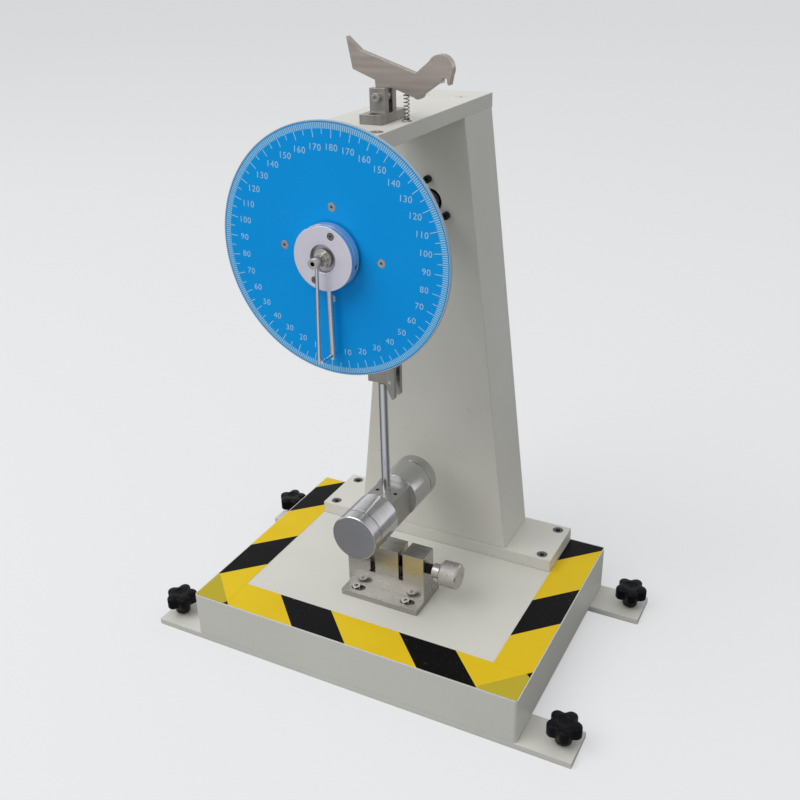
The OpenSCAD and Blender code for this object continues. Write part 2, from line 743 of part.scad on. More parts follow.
// Each end cap has a narrower spigot, which leaves a ring groove against the weight
module end_cap(y, side)
  translate([0, y, hammer_z]) rotate([-90 * side, 0, 0]) rotate_extrude() polygon([
    [0, -ring_groove_w], [hammer_d / 2 - 1.2, -ring_groove_w], [hammer_d / 2 - 1.2, 0], [hammer_d / 2, 0],
    [hammer_d / 2, cap_l - cap_edge], [hammer_d / 2 - cap_edge, cap_l], [0, cap_l]]);
module hammer_end_caps() color("silver") difference() {
  union() {
    end_cap(hammer_front + cap_l, -1);
    end_cap(hammer_back - cap_l, 1);
  }
  rod_y(tie_d, hammer_front + cap_l / 2, hammer_back - cap_l / 2, 0, hammer_z);
}

module hammer_tie_rod() color("dimgray") {
  rod_y(tie_d, hammer_front + cap_l / 2, swing_y - centre_l / 2 + tie_grip, 0, hammer_z);
  rod_y(tie_d, swing_y + centre_l / 2 - tie_grip, hammer_back - cap_l / 2, 0, hammer_z);
}

// Drive hub, arm and pointer in front of the dial
module drive_hub() color("silver") difference() {
  union() {
    rod_y(drive_hub_d, drive_front, drive_back, 0, axle_z);
    rod_y(drive_hub_d - 2.4, cover_back, drive_front + e, 0, axle_z);
  }
  rod_y(journal_d, drive_front, drive_back + 1, 0, axle_z);
  rod_y(cover_bore_d, cover_back - 1, drive_front, 0, axle_z);
  translate([0, arm_y, axle_z - drive_hub_d]) cylinder(d = arm_d, h = drive_hub_d - journal_r - 3);
  at_axle() rotate([0, hub_screw_a, 0]) rod_x(small_screw_d, 0, drive_hub_d, arm_y, 0);
  at_cover_screws() rod_y(3 + 2 * hole_gap, cover_back - 1, drive_back + 1);
}

module at_cover_screws() round_axle(cover_screw_r, [cover_screw_a, cover_screw_a + 180]) children();

module hub_cover() color("gainsboro") difference() {
  rod_y(drive_hub_d, cover_front, cover_back, 0, axle_z);
  rod_y(cover_bore_d, cover_front - 1, cover_back + 1, 0, axle_z);
  at_cover_screws() {
    rod_y(3 + 2 * hole_gap, cover_front - 1, cover_back + 1);
    rod_y(6.2, cover_front - 1, cover_front + cover_t * 0.6);
  }
  at_axle() rotate([0, -109, 0]) translate([drive_hub_d / 2 - 0.9, cover_front - 1, -drive_hub_d / 2])
    cube([5, cover_t + 2, drive_hub_d]);
}

module hub_cover_screws() color("silver") {
  at_cover_screws() translate([0, cover_front + cover_t * 0.6, 0]) rotate([90, 0, 0])
    socket_screw(3, 5.6, 1.7, cover_t * 0.4 + groove_t + drive_hub_t - 1);
  at_axle() rotate([0, hub_screw_a, 0]) rod_x(small_screw_d, journal_r, drive_hub_d / 2 - 2.5, arm_y, 0);
}

module drive_arm() color("silver") difference() {
  translate([0, arm_y, axle_z - pin_r - 3]) cylinder(d = arm_d, h = pin_r - journal_r);
  rod_y(pin_d, arm_y - arm_d, arm_y + arm_d, 0, axle_z - pin_r);
}

module drive_pin() color("silver") {
  rod_y(pin_d, pointer_y - pointer_d / 2, arm_y + arm_d / 2 + 1, 0, axle_z - pin_r);
}

module axle_nut() color("silver") difference() {
  union() {
    rod_y(journal_d + 3, cover_front - 0.4, drive_front, 0, axle_z);
    rod_y(journal_d - 1.5, cover_front - nut_step, cover_front - 0.4 + e, 0, axle_z);
  }
  rod_y(spindle_d + 2 * face_gap, cover_front - nut_step - 1, drive_front + 1, 0, axle_z);
}

module pointer_hub() color("silver") difference() {
  rod_y(pointer_hub_d, pointer_front, pointer_back, 0, axle_z);
  rod_y(spindle_d + 2 * running, pointer_back - spindle_grip - face_gap, pointer_back + 1, 0, axle_z);
  rod_y(pointer_hub_d * 0.45, pointer_front - 1, pointer_back, 0, axle_z);
  at_pointer() cylinder(d = pointer_d, h = pointer_hub_d);
}

// The pointer hangs just to the left of the drive pin
module at_pointer()
  translate([0, pointer_y, axle_z]) rotate([0, 180 + pointer_rest, 0])
    translate([0, 0, pointer_root]) children();

module pointer_rod() color("silver")
  at_pointer() cylinder(d = pointer_d, h = pin_r + pointer_tip - pointer_root);

// Vise
module vise_body() color("silver") difference() {
  union() {
    translate([vise_left, vise_front, base_top]) cube([vise_w, vise_foot_d, vise_foot_t]);
    translate([vise_left, jaw_front, base_top]) cube([vise_w, jaw_d, vise_h]);
  }
  translate([slot_left, jaw_front - 1, base_top + slide_floor])
    cube([wall_left - slot_left, jaw_d + 2, vise_h]);
  translate([slot_left - 1.2, jaw_front - 1, base_top + slide_floor]) cube([2, jaw_d + 2, 2]);
  translate([slot_left + 2, swing_y - tongue_w / 2 - face_gap, base_top + slide_floor - tongue_h])
    cube([wall_left - slot_left - 4, tongue_w + 2 * face_gap, tongue_h + 1]);
  rod_x(clamp_d + 2 * running, wall_left - 1, vise_right + 1, swing_y, clamp_top);
  at_vise_bolts() {
    translate([0, 0, -vise_foot_t - 1]) cylinder(d = vise_bolt_d + 2 * hole_gap, h = vise_foot_t + 2);
    translate([vise_bolt_shift, 0, -vise_head_sink]) vise_slot();
  }
}

module vise_slot() linear_extrude(vise_foot_t) {
  for (x = [-vise_slot_l / 2, vise_slot_l / 2]) translate([x, 0]) circle(d = vise_bolt_head_d + 0.8);
  square([vise_slot_l, vise_bolt_head_d + 0.8], center = true);
}

module vise_bolts() color("silver")
  at_vise_bolts() translate([0, 0, -vise_head_sink])
    socket_screw(vise_bolt_d, vise_bolt_head_d, vise_bolt_d, vise_bolt_l);

module vise_jaw() color("silver") difference() {
  union() {
    translate([jaw_left, jaw_front, base_top + slide_floor + jaw_lift])
      cube([moving_jaw_w, jaw_d, vise_h - slide_floor - jaw_lift]);
    translate([jaw_left + 6, swing_y - tongue_w / 2, base_top + slide_floor - tongue_h + face_gap])
      cube([moving_jaw_w - 9, tongue_w, tongue_h]);
  }
  rod_x(nose_d + 2 * running, jaw_right - nose_l - 0.5, jaw_right + 1, swing_y, clamp_top);
  rod_y(keeper_d, swing_y - jaw_d / 4, swing_y + jaw_d, keeper_x, clamp_top + keeper_z);
}

// The keeper pin lies in the groove of the clamp screw's nose, so the screw also draws the jaw back
module jaw_keeper_pin() color("silver")
  rod_y(keeper_d, swing_y - jaw_d / 4, swing_y + jaw_d / 2 - 0.3, keeper_x, clamp_top + keeper_z);

module vise_screw() color("black") {
  difference() {
    rod_x(nose_d, jaw_right - nose_l, jaw_right + 1.5, swing_y, clamp_top);
    translate([keeper_x, swing_y, clamp_top]) rotate([0, 90, 0]) difference() {
      cylinder(d = nose_d + 1, h = keeper_d + 0.2, center = true);
      cylinder(d = nose_d * 0.7, h = keeper_d + 1, center = true);
    }
  }
  rod_x(clamp_d, jaw_right + face_gap, vise_right + neck_gap + neck_l + 6, swing_y, clamp_top);
}

module vise_knob() color("gainsboro") difference() {
  translate([vise_right + neck_gap, swing_y, clamp_top]) rotate([0, 90, 0]) rotate_extrude() polygon([
    [0, 0], [neck_d / 2 - 0.8, 0], [neck_d / 2, 0.8], [neck_d / 2, neck_l],
    [knob_d / 2 - knob_edge, neck_l], [knob_d / 2, neck_l + knob_edge],
    [knob_d / 2, neck_l + knob_l - knob_edge], [knob_d / 2 - knob_edge, neck_l + knob_l],
    [0, neck_l + knob_l]]);
  rod_x(clamp_d, vise_right, vise_right + neck_gap + neck_l + 6, swing_y, clamp_top);
}

// Latch
module latch_bracket() color("rosybrown") difference() {
  union() {
    translate([bracket_x - bracket_foot_w / 2, swing_y - bracket_foot_l / 2 - 2.5, top_z])
      cube([bracket_foot_w, bracket_foot_l, bracket_foot_t]);
    for (y = [ear_front, swing_y + ear_gap / 2])
      translate([pivot_x - ear_w / 2, y, top_z + bracket_foot_t - e])
        cube([ear_w, ear_t, pivot_h - bracket_foot_t + ear_top]);
  }
  rod_y(pivot_d, swing_y - 50, swing_y + 50, pivot_x, pivot_z);
  at_bracket_screws() {
    translate([0, 0, -bracket_foot_t - 1]) screw_hole(small_screw_d, bracket_foot_t + 2);
    translate([0, 0, -small_screw_d]) cylinder(d = small_head_d + 2 * hole_gap, h = small_screw_d + 1);
  }
}

module at_bracket_screws()
  for (y = [swing_y - bracket_foot_l / 2 + 2.7, swing_y + bracket_foot_l / 2 - 7.7])
    translate([bracket_x, y, top_z + bracket_foot_t]) children();

module latch_bracket_screws() color("dimgray")
  at_bracket_screws() translate([0, 0, -small_screw_d])
    socket_screw(small_screw_d, small_head_d, small_screw_d, bracket_foot_t + top_plate_t - small_screw_d - 2);

module latch_pivot() color("lightgray")
  translate([pivot_x, ear_front, pivot_z]) rotate([90, 0, 0])
    socket_screw(pivot_d, pivot_d * 1.75, 3.5, ear_gap + 2 * ear_t + 1.5);

// Points of the lever's outline, from its pivot, as shares of its reach
function at_lever(x, z) = [x * lever_reach, z * lever_reach];

// The lever is measured from its pivot, X to the right and Z up.
// Its claw drops over the catch pin, which lies in the round notch when the hammer is held up.
module latch_lever() color("tan") translate([pivot_x, 0, pivot_z]) difference() {
  union() {
    plate_y(lever_front, lever_back) polygon([
      at_lever(-0.5777, 0.8566), at_lever(-0.3526, 0.6633), at_lever(0.5896, 0.3566),
      at_lever(0.9064, 0.6096), at_lever(1, head_rise), [claw_x + 4, 20.4],
      [claw_x + 1.9, claw_tip], [claw_x + 0.7, claw_tip], [claw_x - 0.6, notch_z + 0.6],
      [notch_x - 1, notch_z + 1], at_lever(0.6813, 0.0319), at_lever(0.6175, 0), at_lever(0.5179, 0.0219),
      at_lever(0.2988, 0.0996), at_lever(0.0996, 0.1394), at_lever(0.0797, 0), at_lever(-0.0797, 0),
      at_lever(-0.0996, 0.239), at_lever(-0.4841, 0.3865)]);
    rod_y(2 * head_r, lever_front, lever_back, lever_reach, head_rise * lever_reach);
    rod_y(heel_d, lever_front, lever_back, heel_share[0] * lever_reach, heel_share[1] * lever_reach);
    rod_y(lever_boss_d, lever_front, lever_back);
  }
  rod_y(2 * notch_r, lever_front - 1, lever_back + 1, notch_x, notch_z);
  rod_y(pivot_d + 2 * running, lever_front - 1, lever_back + 1);
}

module latch_spring() color("silver") translate([spring_x, swing_y, top_z + ring_t]) difference() {
  cylinder(d = spring_d, h = spring_top - top_z - ring_t);
  translate([0, 0, -1]) cylinder(d = spring_d - 1.6, h = spring_top - top_z);
}

module spring_anchor() color("silver") translate([spring_x, swing_y, top_z]) {
  cylinder(d = spring_d + 3, h = ring_t);
  translate([0, 0, -anchor_sink]) cylinder(d = anchor_d, h = anchor_sink + anchor_h);
}

// Levelling screws
module stud(x, y) color("dimgray") translate([x, y, stud_lift]) cylinder(d = stud_d, h = stud_top - stud_lift);

module star_knob(x, y) color("black") difference() {
  translate([x, y, star_z]) {
    cylinder(d = stud_d + 7, h = star_hub_h + e);
    translate([0, 0, star_hub_h]) linear_extrude(star_t) rotate(x < 0 ? 180 : 0) star_outline();
  }
  translate([x, y, 0]) cylinder(d = stud_d, h = stud_top);
}

module star_outline() {
  lobe_r = star_d * 0.17;
  difference() {
    circle(r = star_d * 0.36);
    for (i = [0:4]) rotate(36 + i * 72) translate([star_d * 0.47, 0]) circle(r = star_d * 0.17);
  }
  for (i = [0:4]) rotate(i * 72) {
    translate([star_d / 2 - lobe_r, 0]) circle(r = lobe_r);
    translate([0, -lobe_r]) square([star_d / 2 - lobe_r, 2 * lobe_r]);
  }
}
module front_left_stud() stud(-stud_x, front_stud_y);
module front_right_stud() stud(stud_x, front_stud_y);
module rear_left_stud() stud(-stud_x, rear_stud_y);
module rear_right_stud() stud(stud_x, rear_stud_y);
module front_left_knob() star_knob(-stud_x, front_stud_y);
module front_right_knob() star_knob(stud_x, front_stud_y);
module rear_left_knob() star_knob(-stud_x, rear_stud_y);
module rear_right_knob() star_knob(stud_x, rear_stud_y);

base_tray();
backing_bars();
foot_bars();
hazard_tape();
column_foot_plate();
column_bolts();
column_shell();
column_head_block();
top_plate();
top_plate_screws();
hanger_plate();
dial_flange();
dial_flange_screws();
bearing_outer_rings();
rear_bearing_housing();
rear_bearing_screws();
rear_cover();
pointer_spindle();
dial_plate();
dial_screws();
latch_bracket();
latch_bracket_screws();
latch_pivot();
latch_spring();
spring_anchor();
vise_body();
vise_bolts();
axle();
bearing_inner_rings();
pendulum_hub();
pendulum_rod();
catch_block();
catch_pin();
pendulum_set_screws();
hammer_centre();
hammer_weights();
hammer_end_caps();
hammer_tie_rod();
hammer_clamp_screws();
drive_hub();
hub_cover();
hub_cover_screws();
drive_arm();
drive_pin();
axle_nut();
pointer_hub();
pointer_rod();
latch_lever();
vise_jaw();
jaw_keeper_pin();
vise_screw();
vise_knob();
front_left_stud();
front_right_stud();
rear_left_stud();
rear_right_stud();
front_left_knob();
front_right_knob();
rear_left_knob();
rear_right_knob();
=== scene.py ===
# Pendulum impact tester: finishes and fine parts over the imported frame
import json
import math
import bpy
import bmesh
from mathutils import Matrix, Vector

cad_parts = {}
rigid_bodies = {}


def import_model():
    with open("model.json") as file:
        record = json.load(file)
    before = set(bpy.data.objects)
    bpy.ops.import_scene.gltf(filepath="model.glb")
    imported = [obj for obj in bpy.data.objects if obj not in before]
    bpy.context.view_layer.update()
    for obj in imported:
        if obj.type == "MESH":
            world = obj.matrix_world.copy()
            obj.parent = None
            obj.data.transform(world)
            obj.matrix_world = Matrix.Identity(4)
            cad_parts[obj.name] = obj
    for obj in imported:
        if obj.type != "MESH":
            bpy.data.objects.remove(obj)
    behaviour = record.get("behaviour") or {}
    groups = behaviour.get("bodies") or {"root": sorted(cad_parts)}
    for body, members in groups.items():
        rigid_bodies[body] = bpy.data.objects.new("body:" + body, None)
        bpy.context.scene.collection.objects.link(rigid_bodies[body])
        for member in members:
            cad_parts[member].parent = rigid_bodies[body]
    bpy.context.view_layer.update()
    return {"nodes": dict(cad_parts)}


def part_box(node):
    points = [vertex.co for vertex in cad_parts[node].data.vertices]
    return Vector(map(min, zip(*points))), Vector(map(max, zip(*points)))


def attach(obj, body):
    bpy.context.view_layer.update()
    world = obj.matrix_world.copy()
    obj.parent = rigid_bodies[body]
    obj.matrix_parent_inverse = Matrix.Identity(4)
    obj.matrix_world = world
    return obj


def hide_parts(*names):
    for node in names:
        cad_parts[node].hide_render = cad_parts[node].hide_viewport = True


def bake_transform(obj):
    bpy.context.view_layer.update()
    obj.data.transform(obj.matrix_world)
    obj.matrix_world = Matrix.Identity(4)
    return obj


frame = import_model()
nodes = frame["nodes"]
MM = 0.001
FULL_TURN = 2 * math.pi

# Main places of the machine, in metres, read from the frame
dial_low, dial_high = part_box("dial_plate")
AXLE_Z = (dial_low[2] + dial_high[2]) / 2
DIAL_FACE_Y = dial_low[1]
cap_low, cap_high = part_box("hammer_end_caps")
HAMMER_Z = (cap_low[2] + cap_high[2]) / 2
knob_low, knob_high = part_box("vise_knob")
CLAMP_Y = (knob_low[1] + knob_high[1]) / 2
CLAMP_Z = (knob_low[2] + knob_high[2]) / 2

# A point on each turning axis, for the marks of the lathe
AXLE = (0.0, 0.0, AXLE_Z)
HAMMER = (0.0, 0.0, HAMMER_Z)
CLAMP = (0.0, CLAMP_Y, CLAMP_Z)
STUD_PITCH, CLAMP_PITCH = 1.25 * MM, 1.5 * MM


# Colours and small node helpers
def paint(red, green, blue):
    """A colour chart value of 0 to 255 for each channel, as the shader wants it"""
    def linear(part):
        part /= 255
        return part / 12.92 if part <= 0.04045 else ((part + 0.055) / 1.055) ** 2.4
    return (linear(red), linear(green), linear(blue), 1.0)


def shade(colour, share, most=1.0):
    """The colour with each channel multiplied by share, and none brighter than most"""
    return tuple(min(part * share, most) for part in colour[:3]) + (1.0,)


def add(tree, kind, inputs=(), **settings):
    """A shader node with its settings made and its inputs linked or filled"""
    made = tree.nodes.new("ShaderNode" + kind)
    for key, value in settings.items():
        setattr(made, key, value)
    for key, value in dict(inputs).items():
        if isinstance(value, bpy.types.NodeSocket):
            tree.links.new(value, made.inputs[key])
        else:
            made.inputs[key].default_value = value
    return made


def calc(tree, operation, *values):
    return add(tree, "Math", enumerate(values), operation=operation).outputs[0]


def times(tree, first, second):
    return calc(tree, "MULTIPLY", first, second)


def spread(tree, value, low, high, to_low=0.0, to_high=1.0):
    """value between low and high, stretched to run from to_low to to_high"""
    return add(tree, "MapRange", {"Value": value, "From Min": low, "From Max": high,
                                  "To Min": to_low, "To Max": to_high}).outputs[0]


def mixed(tree, share, first, second):
    """The first colour where share is 0 and the second where it is 1"""
    return add(tree, "Mix", {0: share, 6: first, 7: second}, data_type="RGBA").outputs[2]


def cloud(tree, point, scale, detail=2.0):
    return add(tree, "TexNoise", {"Vector": point, "Scale": scale, "Detail": detail}).outputs["Fac"]


def here(tree):
    return add(tree, "TexCoord").outputs["Object"]


def split(tree, vector):
    return add(tree, "SeparateXYZ", {0: vector}).outputs


def from_axis(tree, x, y):
    """Distance of a point from the Z axis"""
    return calc(tree, "SQRT", calc(tree, "ADD", times(tree, x, x), times(tree, y, y)))


def axis_point(tree, axis, centre):
    """The surface point with the part's own turning axis laid along Z"""
    order = {"X": (1, 2, 0), "Y": (0, 2, 1), "Z": (0, 1, 2)}[axis]
    place = split(tree, here(tree))
    parts = [calc(tree, "SUBTRACT", place[i], centre[i]) for i in order]
    return add(tree, "CombineXYZ", enumerate(parts)).outputs[0]


def new_group(name, inputs, outputs):
    """An empty node group with these sockets; returns it with its own inputs and outputs"""
    tree = bpy.data.node_groups.new(name, "ShaderNodeTree")
    for label, kind, value in inputs:
        socket = tree.interface.new_socket(name=label, in_out="INPUT", socket_type="NodeSocket" + kind)
        if value is not None:
            socket.default_value = value
    for label, kind in outputs:
        tree.interface.new_socket(name=label, in_out="OUTPUT", socket_type="NodeSocket" + kind)
    return tree, tree.nodes.new("NodeGroupInput").outputs, tree.nodes.new("NodeGroupOutput").inputs


def use(tree, group, **inputs):
    return add(tree, "Group", inputs, node_tree=group).outputs


# Effects that several finishes share
def make_worn_edge():
    """A mask along edges, used as rubbed wear by some finishes and as a painted highlight by others, and the
    slightly rounded normal there
    """
    tree, given, result = new_group(
        "lit_and_worn edge",
        [("Radius", "Float", 0.0006), ("Breakup", "Float", 90.0), ("Amount", "Float", 0.6)],
        [("Mask", "Float"), ("Rim", "Vector")])
    rim = add(tree, "Bevel", {"Radius": given["Radius"]}, samples=6).outputs[0]
    flat = add(tree, "NewGeometry").outputs["Normal"]
    turn = add(tree, "VectorMath", {0: rim, 1: flat}, operation="DOT_PRODUCT").outputs["Value"]
    edge = spread(tree, calc(tree, "SUBTRACT", 1.0, turn), 0.015, 0.16)
    edge_breakup = spread(tree, cloud(tree, here(tree), given["Breakup"], 4.0), 0.4, 0.62, 0.15, 1.0)
    tree.links.new(times(tree, times(tree, edge, edge_breakup), given["Amount"]), result["Mask"])
    tree.links.new(rim, result["Rim"])
    return tree


def make_skin():
    """The fine ripple of paint, plastic, oxide or ink, with slow changes of tone and gloss"""
    tree, given, result = new_group(
        "skin ripple", [("Scale", "Float", 500.0)],
        [("Height", "Float"), ("Tone", "Float"), ("Gloss", "Float")])
    point = here(tree)
    fine = cloud(tree, point, given["Scale"])
    wide = cloud(tree, point, times(tree, given["Scale"], 0.23))
    height = calc(tree, "ADD", times(tree, fine, 0.45), times(tree, wide, 0.55))
    tree.links.new(height, result["Height"])
    tree.links.new(spread(tree, cloud(tree, point, 9.0, 5.0), 0.3, 0.7), result["Tone"])
    tree.links.new(spread(tree, cloud(tree, point, 23.0, 6.0), 0.32, 0.68), result["Gloss"])
    return tree


def make_grain():
    """Straight lines of grinding, milling or drawing: the stretch is small along the lines"""
    tree, given, result = new_group(
        "straight grain", [("Stretch", "Vector", (0.04, 1.0, 1.0)), ("Scale", "Float", 900.0)],
        [("Height", "Float"), ("Streak", "Float"), ("Blotch", "Float")])
    point = add(tree, "VectorMath", {0: here(tree), 1: given["Stretch"]}, operation="MULTIPLY").outputs[0]
    wide = cloud(tree, point, times(tree, given["Scale"], 0.3), 3.0)
    tree.links.new(cloud(tree, point, given["Scale"], 3.0), result["Height"])
    tree.links.new(spread(tree, wide, 0.3, 0.7), result["Streak"])
    tree.links.new(spread(tree, cloud(tree, here(tree), 40.0, 4.0), 0.3, 0.7), result["Blotch"])
    return tree


def make_turned():
    """The rings that a lathe tool leaves, round the Z axis of the given point"""
    tree, given, result = new_group(
        "turned rings", [("Point", "Vector", None), ("Rings", "Float", 1500.0)],
        [("Height", "Float"), ("Ring", "Float"), ("Blotch", "Float")])
    x, y, z = split(tree, given["Point"])
    across = add(tree, "CombineXYZ", {0: from_axis(tree, x, y), 1: z}).outputs[0]
    wide = cloud(tree, across, times(tree, given["Rings"], 0.22), 3.0)
    tree.links.new(cloud(tree, across, given["Rings"]), result["Height"])
    tree.links.new(spread(tree, wide, 0.3, 0.7), result["Ring"])
    tree.links.new(spread(tree, cloud(tree, given["Point"], 60.0, 4.0), 0.3, 0.7), result["Blotch"])
    return tree


def make_thread():
    """A screw thread of the given pitch round the Z axis of the given point"""
    tree, given, result = new_group(
        "screw thread", [("Point", "Vector", None), ("Pitch", "Float", STUD_PITCH)],
        [("Height", "Float"), ("Groove", "Float")])
    x, y, z = split(tree, given["Point"])
    turn = calc(tree, "DIVIDE", calc(tree, "ARCTAN2", y, x), FULL_TURN)
    along = calc(tree, "FRACT", calc(tree, "ADD", calc(tree, "DIVIDE", z, given["Pitch"]), turn))
    ridge = times(tree, calc(tree, "ABSOLUTE", calc(tree, "SUBTRACT", along, 0.5)), 2.0)
    tree.links.new(ridge, result["Height"])
    # Groove: 1 down in the thread's groove, a mask for painted shade
    tree.links.new(spread(tree, ridge, 0.45, 0.05), result["Groove"])
    return tree


# Bars of the warning tape: metres of Y + X or Y - X from one bar to the next, the share of that which is
# black, the softness of a bar's edge as a share, and whole bars added to keep the count above 0
BAR_PITCH, BAR_SHARE, BAR_BLUR, BAR_TURNS = 0.131, 0.4412, 0.0015, 10.0


def make_stripes():
    """Slanting black bars of the warning tape, by the distance along their slant"""
    tree, given, result = new_group(
        "tape stripes", [("Along", "Float", 0.0), ("Offset", "Float", 0.0)], [("Black", "Float")])
    turns = calc(tree, "DIVIDE", calc(tree, "SUBTRACT", given["Along"], given["Offset"]), BAR_PITCH)
    part = calc(tree, "FRACT", calc(tree, "ADD", turns, BAR_TURNS))
    start = spread(tree, part, 0.0, BAR_BLUR)
    stop = spread(tree, part, BAR_SHARE + BAR_BLUR, BAR_SHARE)
    tree.links.new(times(tree, start, stop), result["Black"])
    return tree


def make_scuffs():
    """Thin scratches in three directions, as handling leaves them"""
    tree, given, result = new_group("scuffs", [("Scale", "Float", 60.0), ("Amount", "Float", 0.5)],
                                    [("Mask", "Float")])
    total = None
    for angle in (0.4, 1.7, 2.6):
        turning = {"Vector": here(tree), "Axis": (0.3, 0.8, 0.6), "Angle": angle}
        place = add(tree, "VectorRotate", turning).outputs[0]
        drawn = add(tree, "VectorMath", {0: place, 1: (0.05, 1.0, 1.0)}, operation="MULTIPLY").outputs[0]
        line = spread(tree, cloud(tree, drawn, times(tree, given["Scale"], 14.0), 1.0), 0.73, 0.80)
        total = line if total is None else calc(tree, "MAXIMUM", total, line)
    patch = spread(tree, cloud(tree, here(tree), given["Scale"]), 0.45, 0.65)
    tree.links.new(times(tree, times(tree, total, patch), given["Amount"]), result["Mask"])
    return tree


def make_grime():
    """Painted shade: a dark mask from ambient occlusion down in sockets, grooves and corners, broken up a
    little
    """
    tree, given, result = new_group("recess grime", [("Depth", "Float", 0.003), ("Amount", "Float", 0.6)],
                                    [("Mask", "Float")])
    openness = add(tree, "AmbientOcclusion", {"Distance": given["Depth"]}, samples=6).outputs["AO"]
    patch = spread(tree, cloud(tree, here(tree), 120.0, 3.0), 0.3, 0.7, 0.6, 1.0)
    closed = spread(tree, openness, 0.62, 0.2)
    tree.links.new(times(tree, times(tree, closed, patch), given["Amount"]), result["Mask"])
    return tree


edge_wear_and_highlight, skin_ripple, straight_grain, painted_shade = make_worn_edge(), make_skin(), make_grain(), make_grime()
turned_rings, screw_thread, tape_stripes, scuffs = make_turned(), make_thread(), make_stripes(), make_scuffs()


# Finishes
def new_material(name):
    material = bpy.data.materials.new(name)
    material.use_nodes = True
    tree = material.node_tree
    return material, tree, tree.nodes["Principled BSDF"].inputs


def bump(tree, shader, height, depth, normal):
    """Raises the surface by height, times depth in metres, over the given normal"""
    raised = add(tree, "Bump", {"Height": height, "Distance": depth, "Strength": 1.0, "Normal": normal})
    tree.links.new(raised.outputs[0], shader["Normal"])


def lay_skin(tree, shader, tone, skin, rough, depth, normal):
    """Joins the colour, the roughness between the two values of rough, and the skin's ripple to the shader"""
    tree.links.new(tone, shader["Base Color"])
    tree.links.new(spread(tree, skin["Gloss"], 0.0, 1.0, *rough), shader["Roughness"])
    bump(tree, shader, skin["Height"], depth, normal)


def enamel(name, colour):
    """Sprayed paint on sheet steel, with a painted highlight on its edges, grey scratches, and painted shade
    in its corners and recesses
    """
    material, tree, shader = new_material(name)
    edge = use(tree, edge_wear_and_highlight, Radius=0.0011, Breakup=70.0, Amount=0.6)
    skin = use(tree, skin_ripple, Scale=620.0)
    marks = use(tree, scuffs, Scale=30.0, Amount=0.35)["Mask"]
    enamel_painted_shade = use(tree, painted_shade, Depth=0.004, Amount=0.6)["Mask"]
    tone = mixed(tree, skin["Tone"], colour, shade(colour, 0.93))
    # Painted highlight: edges lightened almost to white, as folds catch light
    tone = mixed(tree, edge["Mask"], tone, paint(245, 244, 240))
    # Painted shade: corners and recesses darkened to grey-brown
    tone = mixed(tree, enamel_painted_shade, tone, paint(66, 64, 60))
    tone = mixed(tree, marks, tone, paint(150, 148, 142))
    lay_skin(tree, shader, tone, skin, (0.34, 0.46), 0.00005, edge["Rim"])
    shader["Specular IOR Level"].default_value = 0.4
    return material


def metal(name, colour, rough, pattern, depth=0.00002, edge_amount=0.5, edge_radius=0.0004,
          wear_and_highlight_lift=1.35, tint=0.12, painted_shade_depth=0.0022):
    """Bare metal: pattern(tree) gives the tool marks' height, their streaks and slow blotches"""
    material, tree, shader = new_material(name)
    height, streak, blotch = pattern(tree)
    edge = use(tree, edge_wear_and_highlight, Radius=edge_radius, Breakup=160.0, Amount=edge_amount)
    marks = use(tree, scuffs, Scale=70.0, Amount=0.5)["Mask"]
    metal_painted_shade = use(tree, painted_shade, Depth=painted_shade_depth, Amount=0.85)["Mask"]
    dark, bright = shade(colour, 1 - tint), shade(colour, wear_and_highlight_lift, 0.95)
    tone = mixed(tree, streak, dark, colour)
    tone = mixed(tree, times(tree, blotch, 0.35), tone, dark)
    # Edges lightened: rubbed wear, and a painted highlight where edge_amount and the lift are raised
    tone = mixed(tree, edge["Mask"], tone, bright)
    # Painted shade: sockets, grooves and corners darkened almost to black
    tone = mixed(tree, metal_painted_shade, tone, paint(38, 36, 34))
    tree.links.new(mixed(tree, marks, tone, bright), shader["Base Color"])
    shader["Metallic"].default_value = 1.0
    gloss = calc(tree, "ADD", times(tree, streak, 0.09), times(tree, blotch, 0.07))
    tree.links.new(calc(tree, "ADD", gloss, rough), shader["Roughness"])
    bump(tree, shader, height, depth, edge["Rim"])
    return material


def grained(stretch, scale):
    def pattern(tree):
        marks = use(tree, straight_grain, Stretch=stretch, Scale=scale)
        return marks["Height"], marks["Streak"], marks["Blotch"]
    return pattern


def turned(axis, centre, rings=1500.0):
    def pattern(tree):
        marks = use(tree, turned_rings, Point=axis_point(tree, axis, centre), Rings=rings)
        return marks["Height"], marks["Ring"], marks["Blotch"]
    return pattern


def faced(axis, centre, rings):
    """As turned, with a painted dark reflection on the flat ends"""
    def pattern(tree):
        height, ring, blotch = turned(axis, centre, rings)(tree)
        across = split(tree, add(tree, "NewGeometry").outputs["Normal"])["XYZ".index(axis)]
        # Painted reflection: flat end faces get a far darker tone
        flat = spread(tree, calc(tree, "ABSOLUTE", across), 0.8, 0.95, 1.0, 0.15)
        return height, times(tree, spread(tree, ring, 0.0, 1.0, 0.82, 1.0), flat), blotch
    return pattern


def threaded(name, colour, rough, axis, centre, pitch, metallic=1.0):
    """A cut screw thread, with painted shade down in its groove"""
    material, tree, shader = new_material(name)
    thread = use(tree, screw_thread, Point=axis_point(tree, axis, centre), Pitch=pitch)
    skin = use(tree, skin_ripple, Scale=900.0)
    edge = use(tree, edge_wear_and_highlight, Radius=0.0003, Breakup=200.0, Amount=0.4)
    # Painted shade: the groove darkened to a quarter of the colour
    tone = mixed(tree, thread["Groove"], colour, shade(colour, 0.25))
    tone = mixed(tree, edge["Mask"], tone, shade(colour, 1.5, 0.9))
    tree.links.new(tone, shader["Base Color"])
    shader["Metallic"].default_value = metallic
    tree.links.new(spread(tree, skin["Gloss"], 0.0, 1.0, rough, rough + 0.14), shader["Roughness"])
    bump(tree, shader, thread["Height"], pitch * 0.45, edge["Rim"])
    return material


